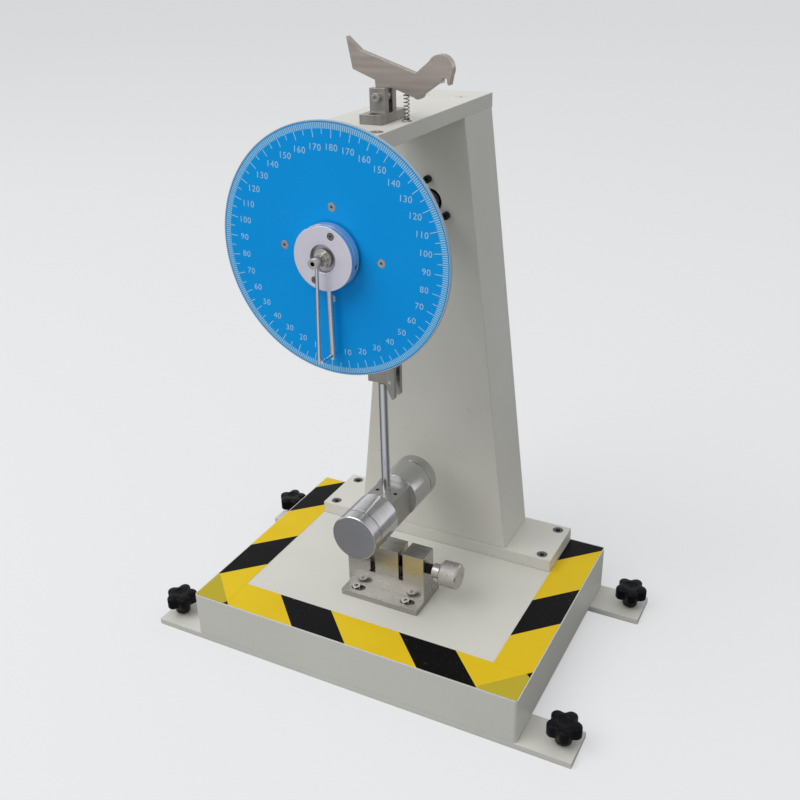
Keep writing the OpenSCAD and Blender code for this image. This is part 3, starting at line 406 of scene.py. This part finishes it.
def oxide_black(name, light, dark):
    """Blackened steel of the socket screws and hidden bars"""
    material, tree, shader = new_material(name)
    skin = use(tree, skin_ripple, Scale=1500.0)
    edge = use(tree, edge_wear_and_highlight, Radius=0.0003, Breakup=220.0, Amount=0.8)
    tone = mixed(tree, skin["Tone"], light, dark)
    tone = mixed(tree, edge["Mask"], tone, paint(128, 126, 122))
    lay_skin(tree, shader, tone, skin, (0.34, 0.5), 0.00003, edge["Rim"])
    shader["Metallic"].default_value = 0.75
    return material


def moulded_black(name):
    """Black moulded plastic with a satin skin and slightly paler rubbed lobes"""
    material, tree, shader = new_material(name)
    skin = use(tree, skin_ripple, Scale=1300.0)
    edge = use(tree, edge_wear_and_highlight, Radius=0.0012, Breakup=120.0, Amount=0.35)
    marks = use(tree, scuffs, Scale=60.0, Amount=0.4)["Mask"]
    tone = mixed(tree, skin["Tone"], paint(15, 15, 18), paint(10, 10, 13))
    tone = mixed(tree, edge["Mask"], tone, paint(40, 41, 46))
    tone = mixed(tree, marks, tone, paint(58, 58, 62))
    lay_skin(tree, shader, tone, skin, (0.3, 0.44), 0.00006, edge["Rim"])
    shader["Specular IOR Level"].default_value = 0.14
    return material


# Where each colour of the dial starts and is full: three by distance from its middle, one by depth
DIAL_BAND, DIAL_RING, DIAL_RIM = (0.0937, 0.0939), (0.0985, 0.0986), (0.0991, 0.0992)
DIAL_BACK = (0.0026, 0.0029)


def dial_finish(name):
    """Blue printed face with a paler outer band, a thin dark ring and a pale rim, and a bare grey back"""
    material, tree, shader = new_material(name)
    x, y, z = split(tree, axis_point(tree, "Y", (0.0, DIAL_FACE_Y, AXLE_Z)))
    reach = from_axis(tree, x, y)
    skin = use(tree, skin_ripple, Scale=800.0)
    edge = use(tree, edge_wear_and_highlight, Radius=0.0004, Breakup=200.0, Amount=0.3)
    marks = use(tree, scuffs, Scale=26.0, Amount=0.3)["Mask"]
    face = mixed(tree, skin["Tone"], paint(1, 171, 255), paint(1, 164, 252))
    face = mixed(tree, times(tree, spread(tree, reach, *DIAL_BAND), 0.75), face, paint(80, 186, 252))
    face = mixed(tree, spread(tree, reach, *DIAL_RING), face, paint(22, 136, 216))
    face = mixed(tree, spread(tree, reach, *DIAL_RIM), face, paint(176, 200, 216))
    face = mixed(tree, spread(tree, z, *DIAL_BACK), face, paint(176, 182, 186))
    face = mixed(tree, edge["Mask"], face, paint(200, 214, 222))
    face = mixed(tree, marks, face, paint(70, 176, 243))
    lay_skin(tree, shader, face, skin, (0.26, 0.36), 0.00002, edge["Rim"])
    shader["Specular IOR Level"].default_value = 0.16
    return material


def print_finish(name):
    """Pale screen-printed ink, a little uneven"""
    material, tree, shader = new_material(name)
    skin = use(tree, skin_ripple, Scale=2600.0)
    tone = mixed(tree, skin["Tone"], paint(188, 230, 254), paint(170, 223, 252))
    normal = add(tree, "NewGeometry").outputs["Normal"]
    lay_skin(tree, shader, tone, skin, (0.4, 0.55), 0.00001, normal)
    shader["Specular IOR Level"].default_value = 0.16
    return material


# Where the first black bar starts along the slant, and the Y that both slants are counted from
TAPE_PHASE, TAPE_SHIFT_Y = 0.0805, 0.00525


def tape_finish(name, slant, zone):
    """Yellow tape with black bars. slant is 1 where the bars follow Y + X and -1 where they follow Y - X.
    zone(tree, x, y) is 1 where the strip lies on its neighbour, whose black bars show through as olive."""
    material, tree, shader = new_material(name)
    x, y, z = split(tree, here(tree))
    level = calc(tree, "SUBTRACT", y, TAPE_SHIFT_Y)
    sum_way, minus_way = calc(tree, "ADD", level, x), calc(tree, "SUBTRACT", level, x)
    own, other = (sum_way, minus_way) if slant > 0 else (minus_way, sum_way)
    black = use(tree, tape_stripes, Along=own, Offset=TAPE_PHASE)["Black"]
    under = use(tree, tape_stripes, Along=other, Offset=TAPE_PHASE)["Black"]
    skin = use(tree, skin_ripple, Scale=260.0)
    edge = use(tree, edge_wear_and_highlight, Radius=0.0004, Breakup=150.0, Amount=0.5)
    marks = use(tree, scuffs, Scale=40.0, Amount=0.25)["Mask"]
    yellow = mixed(tree, skin["Tone"], paint(243, 209, 38), paint(234, 198, 34))
    bar = mixed(tree, skin["Tone"], paint(11, 12, 14), paint(8, 9, 11))
    tone = mixed(tree, times(tree, under, zone(tree, x, y)), yellow, paint(196, 178, 52))
    tone = mixed(tree, black, tone, bar)
    tone = mixed(tree, edge["Mask"], tone, paint(214, 200, 130))
    tone = mixed(tree, marks, tone, paint(190, 176, 120))
    lay_skin(tree, shader, tone, skin, (0.3, 0.42), 0.00022, edge["Rim"])
    shader["Specular IOR Level"].default_value = 0.1
    return material


WARM_STEEL, HAMMER_STEEL = paint(194, 183, 175), paint(206, 206, 208)
ALUMINIUM = paint(231, 229, 240)
even_grain = grained((1.0, 1.0, 1.0), 1800.0)

cream_enamel = enamel("cream_enamel", paint(228, 227, 219))
black_oxide = oxide_black("black_oxide", paint(44, 45, 49), paint(30, 31, 34))
grey_oxide = oxide_black("grey_oxide", paint(120, 119, 118), paint(98, 97, 97))
black_moulding = moulded_black("black_moulding")
dial_blue = dial_finish("dial_blue")
dial_print = print_finish("dial_print")
drawn_rod = metal("drawn_rod", paint(222, 223, 225), 0.07, grained((1.0, 1.0, 0.02), 4000.0), depth=0.0000015)
drawn_wire = metal("drawn_wire", paint(226, 227, 230), 0.1, grained((1.0, 1.0, 0.02), 5000.0),
                   depth=0.000001, edge_amount=0.3, edge_radius=0.0001)
small_bright = metal("small_bright_steel", paint(208, 206, 202), 0.16, even_grain, depth=0.00001)
dull_screw = metal("dull_screw_steel", paint(178, 182, 190), 0.2, even_grain, depth=0.00001)
spring_steel = metal("spring_steel", paint(132, 130, 130), 0.2, even_grain, depth=0.00001)
ground_vise = metal("ground_vise", paint(186, 184, 180), 0.2, grained((0.035, 1.0, 0.5), 700.0),
                    depth=0.000005, tint=0.2)
ground_latch = metal("ground_latch", WARM_STEEL, 0.26, grained((0.06, 1.0, 1.0), 800.0),
                     depth=0.00003, tint=0.24)
ground_bracket = metal("ground_bracket", paint(176, 172, 167), 0.28, grained((1.0, 1.0, 0.06), 700.0),
                       depth=0.00003, tint=0.3)
milled_centre = metal("milled_centre", paint(180, 179, 177), 0.26, grained((1.0, 0.04, 1.0), 900.0),
                      depth=0.00001)
catch_steel = metal("catch_steel", paint(172, 168, 162), 0.26, grained((1.0, 1.0, 0.05), 800.0),
                    depth=0.00003, tint=0.22)
turned_steel = metal("turned_steel", paint(206, 203, 197), 0.14, turned("Y", AXLE), painted_shade_depth=0.005)
# Raised edge lift: painted highlight on the covers' rims
turned_cover = metal("turned_cover", ALUMINIUM, 0.42, turned("Y", AXLE, 1100.0),
                     edge_amount=0.9, edge_radius=0.0008, wear_and_highlight_lift=1.5, tint=0.06, painted_shade_depth=0.006)
# Raised edge lift: painted highlight rings on the hammer's edges; the caps' ends also get a painted dark
# reflection
turned_hammer = metal("turned_hammer", HAMMER_STEEL, 0.12, turned("Y", HAMMER, 900.0), depth=0.00001,
                      edge_amount=0.8, edge_radius=0.0007, wear_and_highlight_lift=1.5, tint=0.1)
hammer_caps_painted_dark_ends = metal("hammer_caps_painted_dark_ends", HAMMER_STEEL, 0.12, faced("Y", HAMMER, 900.0), depth=0.00001,
                   edge_amount=0.8, edge_radius=0.0007, wear_and_highlight_lift=1.5, tint=0.62)
knurled_steel = metal("knurled_steel", paint(190, 187, 183), 0.2, turned("X", CLAMP, 1200.0), depth=0.00001)
black_thread = threaded("black_thread", paint(52, 52, 56), 0.36, "X", CLAMP, CLAMP_PITCH, 0.8)


def dress(material, *names):
    """Puts the finish on these parts of the frame"""
    for name in names:
        part = nodes[name]
        if not part.material_slots:
            part.data.materials.append(material)
        for place in part.material_slots:
            place.material = material


dress(cream_enamel, "base_tray", "foot_bars", "column_foot_plate", "column_shell", "top_plate",
      "hanger_plate")
dress(grey_oxide, "column_bolts")
dress(black_oxide, "backing_bars", "column_head_block", "dial_flange_screws", "rear_bearing_screws",
      "latch_bracket_screws", "pendulum_set_screws", "hammer_clamp_screws")
dress(dial_blue, "dial_plate")
dress(drawn_rod, "pendulum_rod")
dress(drawn_wire, "drive_arm", "pointer_rod", "drive_pin")
dress(small_bright, "top_plate_screws", "vise_bolts", "latch_pivot", "spring_anchor", "catch_pin",
      "jaw_keeper_pin")
dress(turned_steel, "axle", "bearing_inner_rings", "bearing_outer_rings", "pendulum_hub", "axle_nut",
      "pointer_hub", "pointer_spindle")
dress(turned_cover, "dial_flange", "rear_bearing_housing", "rear_cover", "drive_hub", "hub_cover")
dress(dull_screw, "dial_screws")
dress(spring_steel, "hub_cover_screws")
dress(turned_hammer, "hammer_weights", "hammer_tie_rod")
dress(hammer_caps_painted_dark_ends, "hammer_end_caps")
dress(milled_centre, "hammer_centre")
dress(catch_steel, "catch_block")
dress(ground_latch, "latch_lever")
dress(ground_bracket, "latch_bracket")
dress(ground_vise, "vise_body", "vise_jaw")
dress(black_thread, "vise_screw")
CORNERS = [front + "_" + side for front in ("front", "rear") for side in ("left", "right")]
for corner in CORNERS:
    low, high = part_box(corner + "_stud")
    middle = ((low[0] + high[0]) / 2, (low[1] + high[1]) / 2, low[2])
    stud_thread = threaded(corner + "_stud_thread", paint(168, 165, 158), 0.24, "Z", middle, STUD_PITCH)
    dress(stud_thread, corner + "_stud")


# Mesh pieces
def finish_piece(name, bm, material, body, replaces=(), sharp=40):
    """Turns the built mesh into a piece that rides on a body, if one is given, and gives back its object"""
    bmesh.ops.recalc_face_normals(bm, faces=bm.faces)
    mesh = bpy.data.meshes.new(name)
    bm.to_mesh(mesh)
    bm.free()
    mesh.shade_smooth()
    mesh.set_sharp_from_angle(angle=math.radians(sharp))
    mesh.materials.append(material)
    made = bpy.data.objects.new(name, mesh)
    bpy.context.scene.collection.objects.link(made)
    if body:
        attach(made, body)
    if replaces:
        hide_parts(*replaces)
    return made


def skin_rings(rings):
    """A new mesh: rings of points, each as long as the next, joined into one skin with closed ends"""
    bm = bmesh.new()
    made = [[bm.verts.new(point) for point in ring] for ring in rings]
    for lower, upper in zip(made, made[1:]):
        for i in range(len(lower)):
            j = (i + 1) % len(lower)
            bm.faces.new((lower[i], lower[j], upper[j], upper[i]))
    bm.faces.new(made[0][::-1])
    bm.faces.new(made[-1])
    return bm


# Printed scale on the dial: its turn, its height over the face, and each mark's inner end, outer end, width
DIAL_TURN, PRINT_LIFT = math.radians(3.0), 0.06 * MM
DEGREE_MARK = (94.0 * MM, 98.3 * MM, 0.75 * MM)
FIVE_MARK = (89.8 * MM, 94.2 * MM, 0.6 * MM)
TEN_MARK = (87.5 * MM, 94.2 * MM, 0.6 * MM)
NUMBER_REACH, NUMBER_TALL = 80.6 * MM, 4.9 * MM
DIGIT_SHARE = 0.7


def on_dial(reach, turn):
    """A point on the dial's face: turn is counted from the bottom, towards the right of the front view"""
    angle = turn - DIAL_TURN
    return Vector((reach * math.sin(angle), DIAL_FACE_Y - PRINT_LIFT, AXLE_Z - reach * math.cos(angle)))


def add_tick(bm, turn, inner, outer, wide):
    half = wide / 2
    corners = [on_dial(reach, turn + side * half / reach) for reach, side in
               ((inner, -1), (inner, 1), (outer, 1), (outer, -1))]
    bm.faces.new([bm.verts.new(corner) for corner in corners])


def add_number(bm, text, middle, tall):
    """Puts a number on the dial, its middle at this point; a digit's height is DIGIT_SHARE of the type size"""
    letters = bpy.data.curves.new("number", "FONT")
    letters.body = text
    letters.size = tall / DIGIT_SHARE
    letters.align_x, letters.align_y = "CENTER", "CENTER"
    letters.space_character = 1.1
    letters.resolution_u = 4
    holder = bpy.data.objects.new("number", letters)
    bpy.context.scene.collection.objects.link(holder)
    bpy.context.view_layer.update()
    flat = bpy.data.meshes.new_from_object(holder.evaluated_get(bpy.context.evaluated_depsgraph_get()))
    tilt = Matrix.Rotation(DIAL_TURN, 4, "Y") @ Matrix.Rotation(math.pi / 2, 4, "X")
    flat.transform(Matrix.Translation(middle) @ tilt)
    bm.from_mesh(flat)
    for data, store in ((holder, bpy.data.objects), (letters, bpy.data.curves), (flat, bpy.data.meshes)):
        store.remove(data)


def dial_scale():
    """A mark at every degree, a longer one at every 5, and a number at every 10, all facing the front"""
    bm = bmesh.new()
    for degree in range(360):
        turn = math.radians(degree)
        add_tick(bm, turn, *DEGREE_MARK)
        if degree % 10 == 0:
            add_tick(bm, turn, *TEN_MARK)
            amount = degree if degree <= 180 else 360 - degree
            add_number(bm, str(amount), on_dial(NUMBER_REACH, turn), NUMBER_TALL)
        elif degree % 5 == 0:
            add_tick(bm, turn, *FIVE_MARK)
    made = finish_piece("dial_scale_print", bm, dial_print, "stand")
    for face in made.data.polygons:
        if face.normal.y > 0:
            face.flip()


dial_scale()


# Warning tape, three strips that overlap at the front corners: edges, cuts and heights in millimetres
TAPE_OUT, TAPE_IN = 169.0, 133.0
TAPE_FRONT, TAPE_REAR, TAPE_INNER_Y = -119.75, 130.25, -83.75
FRONT_CUT_X, FRONT_CUT_Y = 163.5, -88.4
LEFT_CUT_X, LEFT_CUT_Y = -136.0, -113.4
RIGHT_TOP, FRONT_TOP, LEFT_TOP = 0.12, 0.21, 0.3


def tape_strip(name, outline, top, slant, zone, replaces=()):
    """A strip of tape of this outline, lying on the tray"""
    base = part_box("hazard_tape")[0][2]
    bm = skin_rings([[(x * MM, y * MM, z) for x, y in outline] for z in (base, base + top * MM)])
    finish_piece(name, bm, tape_finish(name, slant, zone), "stand", replaces, sharp=30)


def nowhere(tree, x, y):
    return times(tree, x, 0.0)


def left_corner(tree, x, y):
    return calc(tree, "LESS_THAN", y, TAPE_INNER_Y * MM)


def right_corner(tree, x, y):
    return calc(tree, "GREATER_THAN", x, TAPE_IN * MM)


right_outline = [(TAPE_IN, TAPE_FRONT), (TAPE_OUT, TAPE_FRONT), (TAPE_OUT, TAPE_REAR), (TAPE_IN, TAPE_REAR)]
front_outline = [(-TAPE_OUT, TAPE_FRONT), (TAPE_OUT, TAPE_FRONT), (TAPE_OUT, FRONT_CUT_Y),
                 (FRONT_CUT_X, TAPE_INNER_Y), (-TAPE_OUT, TAPE_INNER_Y)]
left_outline = [(-TAPE_OUT, TAPE_FRONT), (LEFT_CUT_X, TAPE_FRONT), (-TAPE_IN, LEFT_CUT_Y),
                (-TAPE_IN, TAPE_REAR), (-TAPE_OUT, TAPE_REAR)]
tape_strip("tape_right", right_outline, RIGHT_TOP, -1, nowhere, ("hazard_tape",))
tape_strip("tape_front", front_outline, FRONT_TOP, 1, right_corner)
tape_strip("tape_left", left_outline, LEFT_TOP, -1, left_corner)


# Star knobs: lobes, points round the outline, and passes that round the corners between the lobes
LOBES, KNOB_STEPS, SMOOTH_PASSES = 5, 180, 14
STAR_D, STAR_HUB_R, STAR_HUB_TALL = 32 * MM, 7.5 * MM, 9 * MM
LOWER_ROUND, UPPER_ROUND, UPPER_DROP = 1.6 * MM, 2.6 * MM, 0.4 * MM

# The dish in the knob's top: distance from its middle and depth, in millimetres
STAR_DISH = ((7.2, 0.0), (6.2, 0.1), (5.6, 0.9), (2.2, 1.0), (2.0, 1.6), (0.2, 1.7))


def star_reach(angle):
    """Distance from the middle to the outline of the lobed head in this direction"""
    lobe_r, lobe_place, valley = STAR_D * 0.175, STAR_D * 0.325, STAR_D * 0.37
    off = (angle + math.pi / LOBES) % (FULL_TURN / LOBES) - math.pi / LOBES
    side = lobe_place * math.sin(off)
    if abs(side) < lobe_r * 0.97:
        return lobe_place * math.cos(off) + math.sqrt(lobe_r ** 2 - side ** 2)
    return valley


def star_outline(first):
    """Distance and direction of each point of the smoothed outline, whose first lobe points to first"""
    raw = [star_reach(FULL_TURN * i / KNOB_STEPS) for i in range(KNOB_STEPS)]
    for _ in range(SMOOTH_PASSES):
        raw = [(raw[i - 1] + 2 * raw[i] + raw[(i + 1) % KNOB_STEPS]) / 4 for i in range(KNOB_STEPS)]
    return [(reach, first + FULL_TURN * i / KNOB_STEPS) for i, reach in enumerate(raw)]


def star_knob(corner):
    """A moulded star knob: hub, lobed head with rounded edges, and a shallow dish in its top"""
    low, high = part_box(corner + "_knob")
    cx = (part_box(corner + "_stud")[0][0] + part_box(corner + "_stud")[1][0]) / 2
    cy = (low[1] + high[1]) / 2
    head_z, top_z = low[2] + STAR_HUB_TALL, high[2]
    outline = star_outline(math.pi if cx < 0 else 0.0)

    def lobed(shrink, z):
        return [(cx + (reach - shrink) * math.cos(angle), cy + (reach - shrink) * math.sin(angle), z)
                for reach, angle in outline]

    def round_ring(reach, z):
        return [(cx + reach * math.cos(angle), cy + reach * math.sin(angle), z) for _, angle in outline]

    rings = [round_ring(STAR_HUB_R - 0.6 * MM, low[2]), round_ring(STAR_HUB_R, low[2] + 0.6 * MM),
             round_ring(STAR_HUB_R, head_z - 1.0 * MM), round_ring(STAR_HUB_R + 1.0 * MM, head_z)]
    rings += [lobed((1 - math.sin(t)) * LOWER_ROUND, head_z + (1 - math.cos(t)) * LOWER_ROUND)
              for t in (0.0, 0.4, 0.8, 1.2, math.pi / 2)]
    rings += [lobed((1 - math.cos(t)) * UPPER_ROUND, top_z - UPPER_DROP - (1 - math.sin(t)) * UPPER_ROUND)
              for t in (0.0, 0.3, 0.6, 0.9, 1.2, math.pi / 2)]
    rings += [round_ring(reach * MM, top_z - down * MM) for reach, down in STAR_DISH]
    finish_piece(corner + "_star_knob", skin_rings(rings), black_moulding, corner + "_star",
                 (corner + "_knob",), 50)


for corner in CORNERS:
    star_knob(corner)


# Knurled knob of the vise: points and teeth round it, rows and pitch along it, and the depth of the knurl
KNURL_STEPS, KNURL_TEETH, KNURL_ROWS = 336, 56, 64
KNURL_PITCH, KNURL_DEPTH = 1.7 * MM, 0.38 * MM
NECK_R, NECK_TALL = 7.0 * MM, 9 * MM


def knurl(turn, along):
    """0 on the ridges' tops and 1 down in the crossing grooves"""
    def groove(value):
        return max(0.0, 1 - abs((value % 1.0) - 0.5) * 5)
    share = turn * KNURL_TEETH / FULL_TURN
    return max(groove(share + along / KNURL_PITCH), groove(share - along / KNURL_PITCH))


def vise_knob():
    """Rows of place along X, distance from the axis, and 1 where the knurl is cut, swept round the axis"""
    half_knob = (knob_high[2] - knob_low[2]) / 2
    start, end = knob_low[0], knob_high[0]
    shoulder = start + NECK_TALL
    first, last = shoulder + 1.4 * MM, end - 1.6 * MM
    rows = [(start, 5.2 * MM, 0), (start, NECK_R - 0.5 * MM, 0), (start + 0.5 * MM, NECK_R, 0),
            (shoulder - 0.6 * MM, NECK_R, 0), (shoulder, NECK_R + 0.5 * MM, 0),
            (shoulder, half_knob - 1.3 * MM, 0), (shoulder + 1.1 * MM, half_knob - 0.15 * MM, 0)]
    rows += [(first + (last - first) * i / KNURL_ROWS, half_knob, 1) for i in range(KNURL_ROWS + 1)]
    rows += [(end - 1.3 * MM, half_knob - 0.15 * MM, 0), (end - 0.2 * MM, half_knob - 1.3 * MM, 0),
             (end, half_knob - 1.6 * MM, 0), (end, 6.6 * MM, 0), (end - 0.35 * MM, 6.2 * MM, 0),
             (end - 0.35 * MM, 2.0 * MM, 0), (end - 1.2 * MM, 1.4 * MM, 0), (end - 1.5 * MM, 0.1 * MM, 0)]
    rings = []
    for x, reach, cut in rows:
        ring = []
        for i in range(KNURL_STEPS):
            turn = FULL_TURN * i / KNURL_STEPS
            out = reach - cut * KNURL_DEPTH * knurl(turn, x - first)
            ring.append((x, CLAMP_Y + out * math.cos(turn), CLAMP_Z + out * math.sin(turn)))
        rings.append(ring)
    finish_piece("knurled_vise_knob", skin_rings(rings), knurled_steel, "clamp_screw",
                 ("vise_knob",), 30)


vise_knob()


# Coil spring under the latch lever: wire radius, turns, points a turn, sides of the wire, and the share of
# the height that it climbs evenly, with the rest climbed between the flat end turns
WIRE_R, COIL_TURNS, COIL_STEPS, WIRE_SIDES = 0.4 * MM, 8.5, 26, 10
EVEN_CLIMB = 0.06


def latch_spring():
    """A coil spring built in place from its foot on the stand up to the latch, on no body"""
    low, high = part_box("latch_spring")
    cx, cy = (low[0] + high[0]) / 2, (low[1] + high[1]) / 2
    coil_r = (high[0] - low[0]) / 2 - WIRE_R
    bottom, top = low[2] + WIRE_R, high[2] - WIRE_R
    rings = []
    for i in range(int(COIL_TURNS * COIL_STEPS) + 1):
        share = i / (COIL_TURNS * COIL_STEPS)
        turn = share * COIL_TURNS * FULL_TURN
        climb = min(max((share * COIL_TURNS - 1) / (COIL_TURNS - 2), 0.0), 1.0)
        height = bottom + (top - bottom) * (EVEN_CLIMB * share + (1 - EVEN_CLIMB) * climb)
        out = Vector((math.cos(turn), math.sin(turn), 0))
        middle = Vector((cx, cy, height)) + out * coil_r
        rings.append([middle + WIRE_R * (out * math.cos(a) + Vector((0, 0, math.sin(a))))
                      for a in (FULL_TURN * k / WIRE_SIDES for k in range(WIRE_SIDES))])
    made = finish_piece("latch_coil_spring", skin_rings(rings), spring_steel, None,
                        ("latch_spring",), 60)
    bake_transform(made)


latch_spring()


# Floor, light and camera
BRIGHT_SIDE = math.radians(-87.0)
FLOOR_REACH, FLOOR_GLOW = 30.0, 0.46
CAMERA_PLACE = (0.380667, -0.714724, 0.640283)
CAMERA_AZIMUTH, CAMERA_RISE, CAMERA_LEAN = math.radians(27.96), math.radians(25.86), math.radians(-1.39)
CAMERA_LENS, CAMERA_SENSOR = 43.75, 36.0


def pale_floor():
    """A pale floor. Polished steel sees it lighter in front and behind, and darker at both sides"""
    bm = bmesh.new()
    bmesh.ops.create_grid(bm, x_segments=1, y_segments=1, size=FLOOR_REACH)
    mesh = bpy.data.meshes.new("floor")
    bm.to_mesh(mesh)
    bm.free()
    floor = bpy.data.objects.new("floor", mesh)
    bpy.context.scene.collection.objects.link(floor)
    material = bpy.data.materials.new("pale_floor")
    material.use_nodes = True
    tree = material.node_tree
    tree.nodes.remove(tree.nodes["Principled BSDF"])
    path = add(tree, "LightPath").outputs
    seen = path["Is Camera Ray"]
    x, y, z = split(tree, here(tree))
    round_about = calc(tree, "SUBTRACT", calc(tree, "ARCTAN2", y, x), BRIGHT_SIDE)
    lobes = calc(tree, "COSINE", times(tree, round_about, 2.0))
    mirrored = mixed(tree, spread(tree, lobes, -0.9, 0.9), paint(112, 114, 118), paint(222, 223, 225))
    unseen = mixed(tree, path["Is Glossy Ray"], paint(156, 158, 162), mirrored)
    tone = mixed(tree, seen, unseen, paint(232, 233, 235))
    matt = add(tree, "BsdfDiffuse", {"Color": tone}).outputs[0]
    glow = add(tree, "Emission", {"Color": (0.94, 0.95, 0.96, 1.0), "Strength": 1.0}).outputs[0]
    both = add(tree, "MixShader", {0: times(tree, seen, FLOOR_GLOW), 1: matt, 2: glow}).outputs[0]
    tree.links.new(both, tree.nodes["Material Output"].inputs["Surface"])
    mesh.materials.append(material)


def studio_world():
    """Soft light from all round, stronger from above, with a pale backdrop and a pale room to mirror"""
    world = bpy.data.worlds.new("studio")
    bpy.context.scene.world = world
    world.use_nodes = True
    tree = world.node_tree
    path = add(tree, "LightPath").outputs
    mirrored = calc(tree, "MAXIMUM", path["Is Glossy Ray"], path["Is Transmission Ray"])
    seen = calc(tree, "MAXIMUM", path["Is Camera Ray"], mirrored)
    height = split(tree, add(tree, "TexCoord").outputs["Generated"])[2]
    room = mixed(tree, spread(tree, height, 0.1, 0.85), (1.0, 1.0, 1.0, 1.0), (0.42, 0.43, 0.45, 1.0))
    backdrop = mixed(tree, spread(tree, height, 0.0, 0.35), (0.68, 0.69, 0.7, 1.0), (0.9, 0.91, 0.92, 1.0))
    room = mixed(tree, path["Is Camera Ray"], room, backdrop)
    sky = mixed(tree, spread(tree, height, 0.0, 0.9), (0.45, 0.45, 0.46, 1.0), (1.0, 1.0, 1.0, 1.0))
    background = tree.nodes["Background"].inputs
    tree.links.new(mixed(tree, seen, sky, room), background["Color"])
    tree.links.new(spread(tree, seen, 0.0, 1.0, 0.66, 1.0), background["Strength"])


def soft_lamp(name, place, aim, size, power):
    """An oblong lamp at place that looks at aim, with its width and height in size"""
    lamp = bpy.data.lights.new(name, "AREA")
    lamp.shape, lamp.size, lamp.size_y, lamp.energy = "RECTANGLE", size[0], size[1], power
    holder = bpy.data.objects.new(name, lamp)
    holder.location = place
    holder.rotation_euler = (Vector(aim) - Vector(place)).to_track_quat("-Z", "Y").to_euler()
    bpy.context.scene.collection.objects.link(holder)


def photo_camera():
    """The camera fitted to the photograph: place, turn, height angle and lean"""
    lens = bpy.data.cameras.new("photo_camera")
    lens.lens, lens.sensor_width = CAMERA_LENS, CAMERA_SENSOR
    camera = bpy.data.objects.new("photo_camera", lens)
    bpy.context.scene.collection.objects.link(camera)
    right = Vector((math.cos(CAMERA_AZIMUTH), math.sin(CAMERA_AZIMUTH), 0.0))
    level = Vector((math.sin(CAMERA_AZIMUTH), -math.cos(CAMERA_AZIMUTH), 0.0))
    back = math.cos(CAMERA_RISE) * level + Vector((0.0, 0.0, math.sin(CAMERA_RISE)))
    up = back.cross(right)
    cos, sin = math.cos(CAMERA_LEAN), math.sin(CAMERA_LEAN)
    right, up = cos * right + sin * up, cos * up - sin * right
    turn = Matrix((right, up, back)).transposed().to_4x4()
    camera.matrix_world = Matrix.Translation(CAMERA_PLACE) @ turn
    bpy.context.scene.camera = camera


pale_floor()
studio_world()
soft_lamp("key_lamp", place=(-1.6, -2.2, 3.6), aim=(0.0, 0.0, 0.25), size=(3.6, 3.0), power=88.0)
photo_camera()
bpy.context.scene.view_settings.view_transform = "Standard"
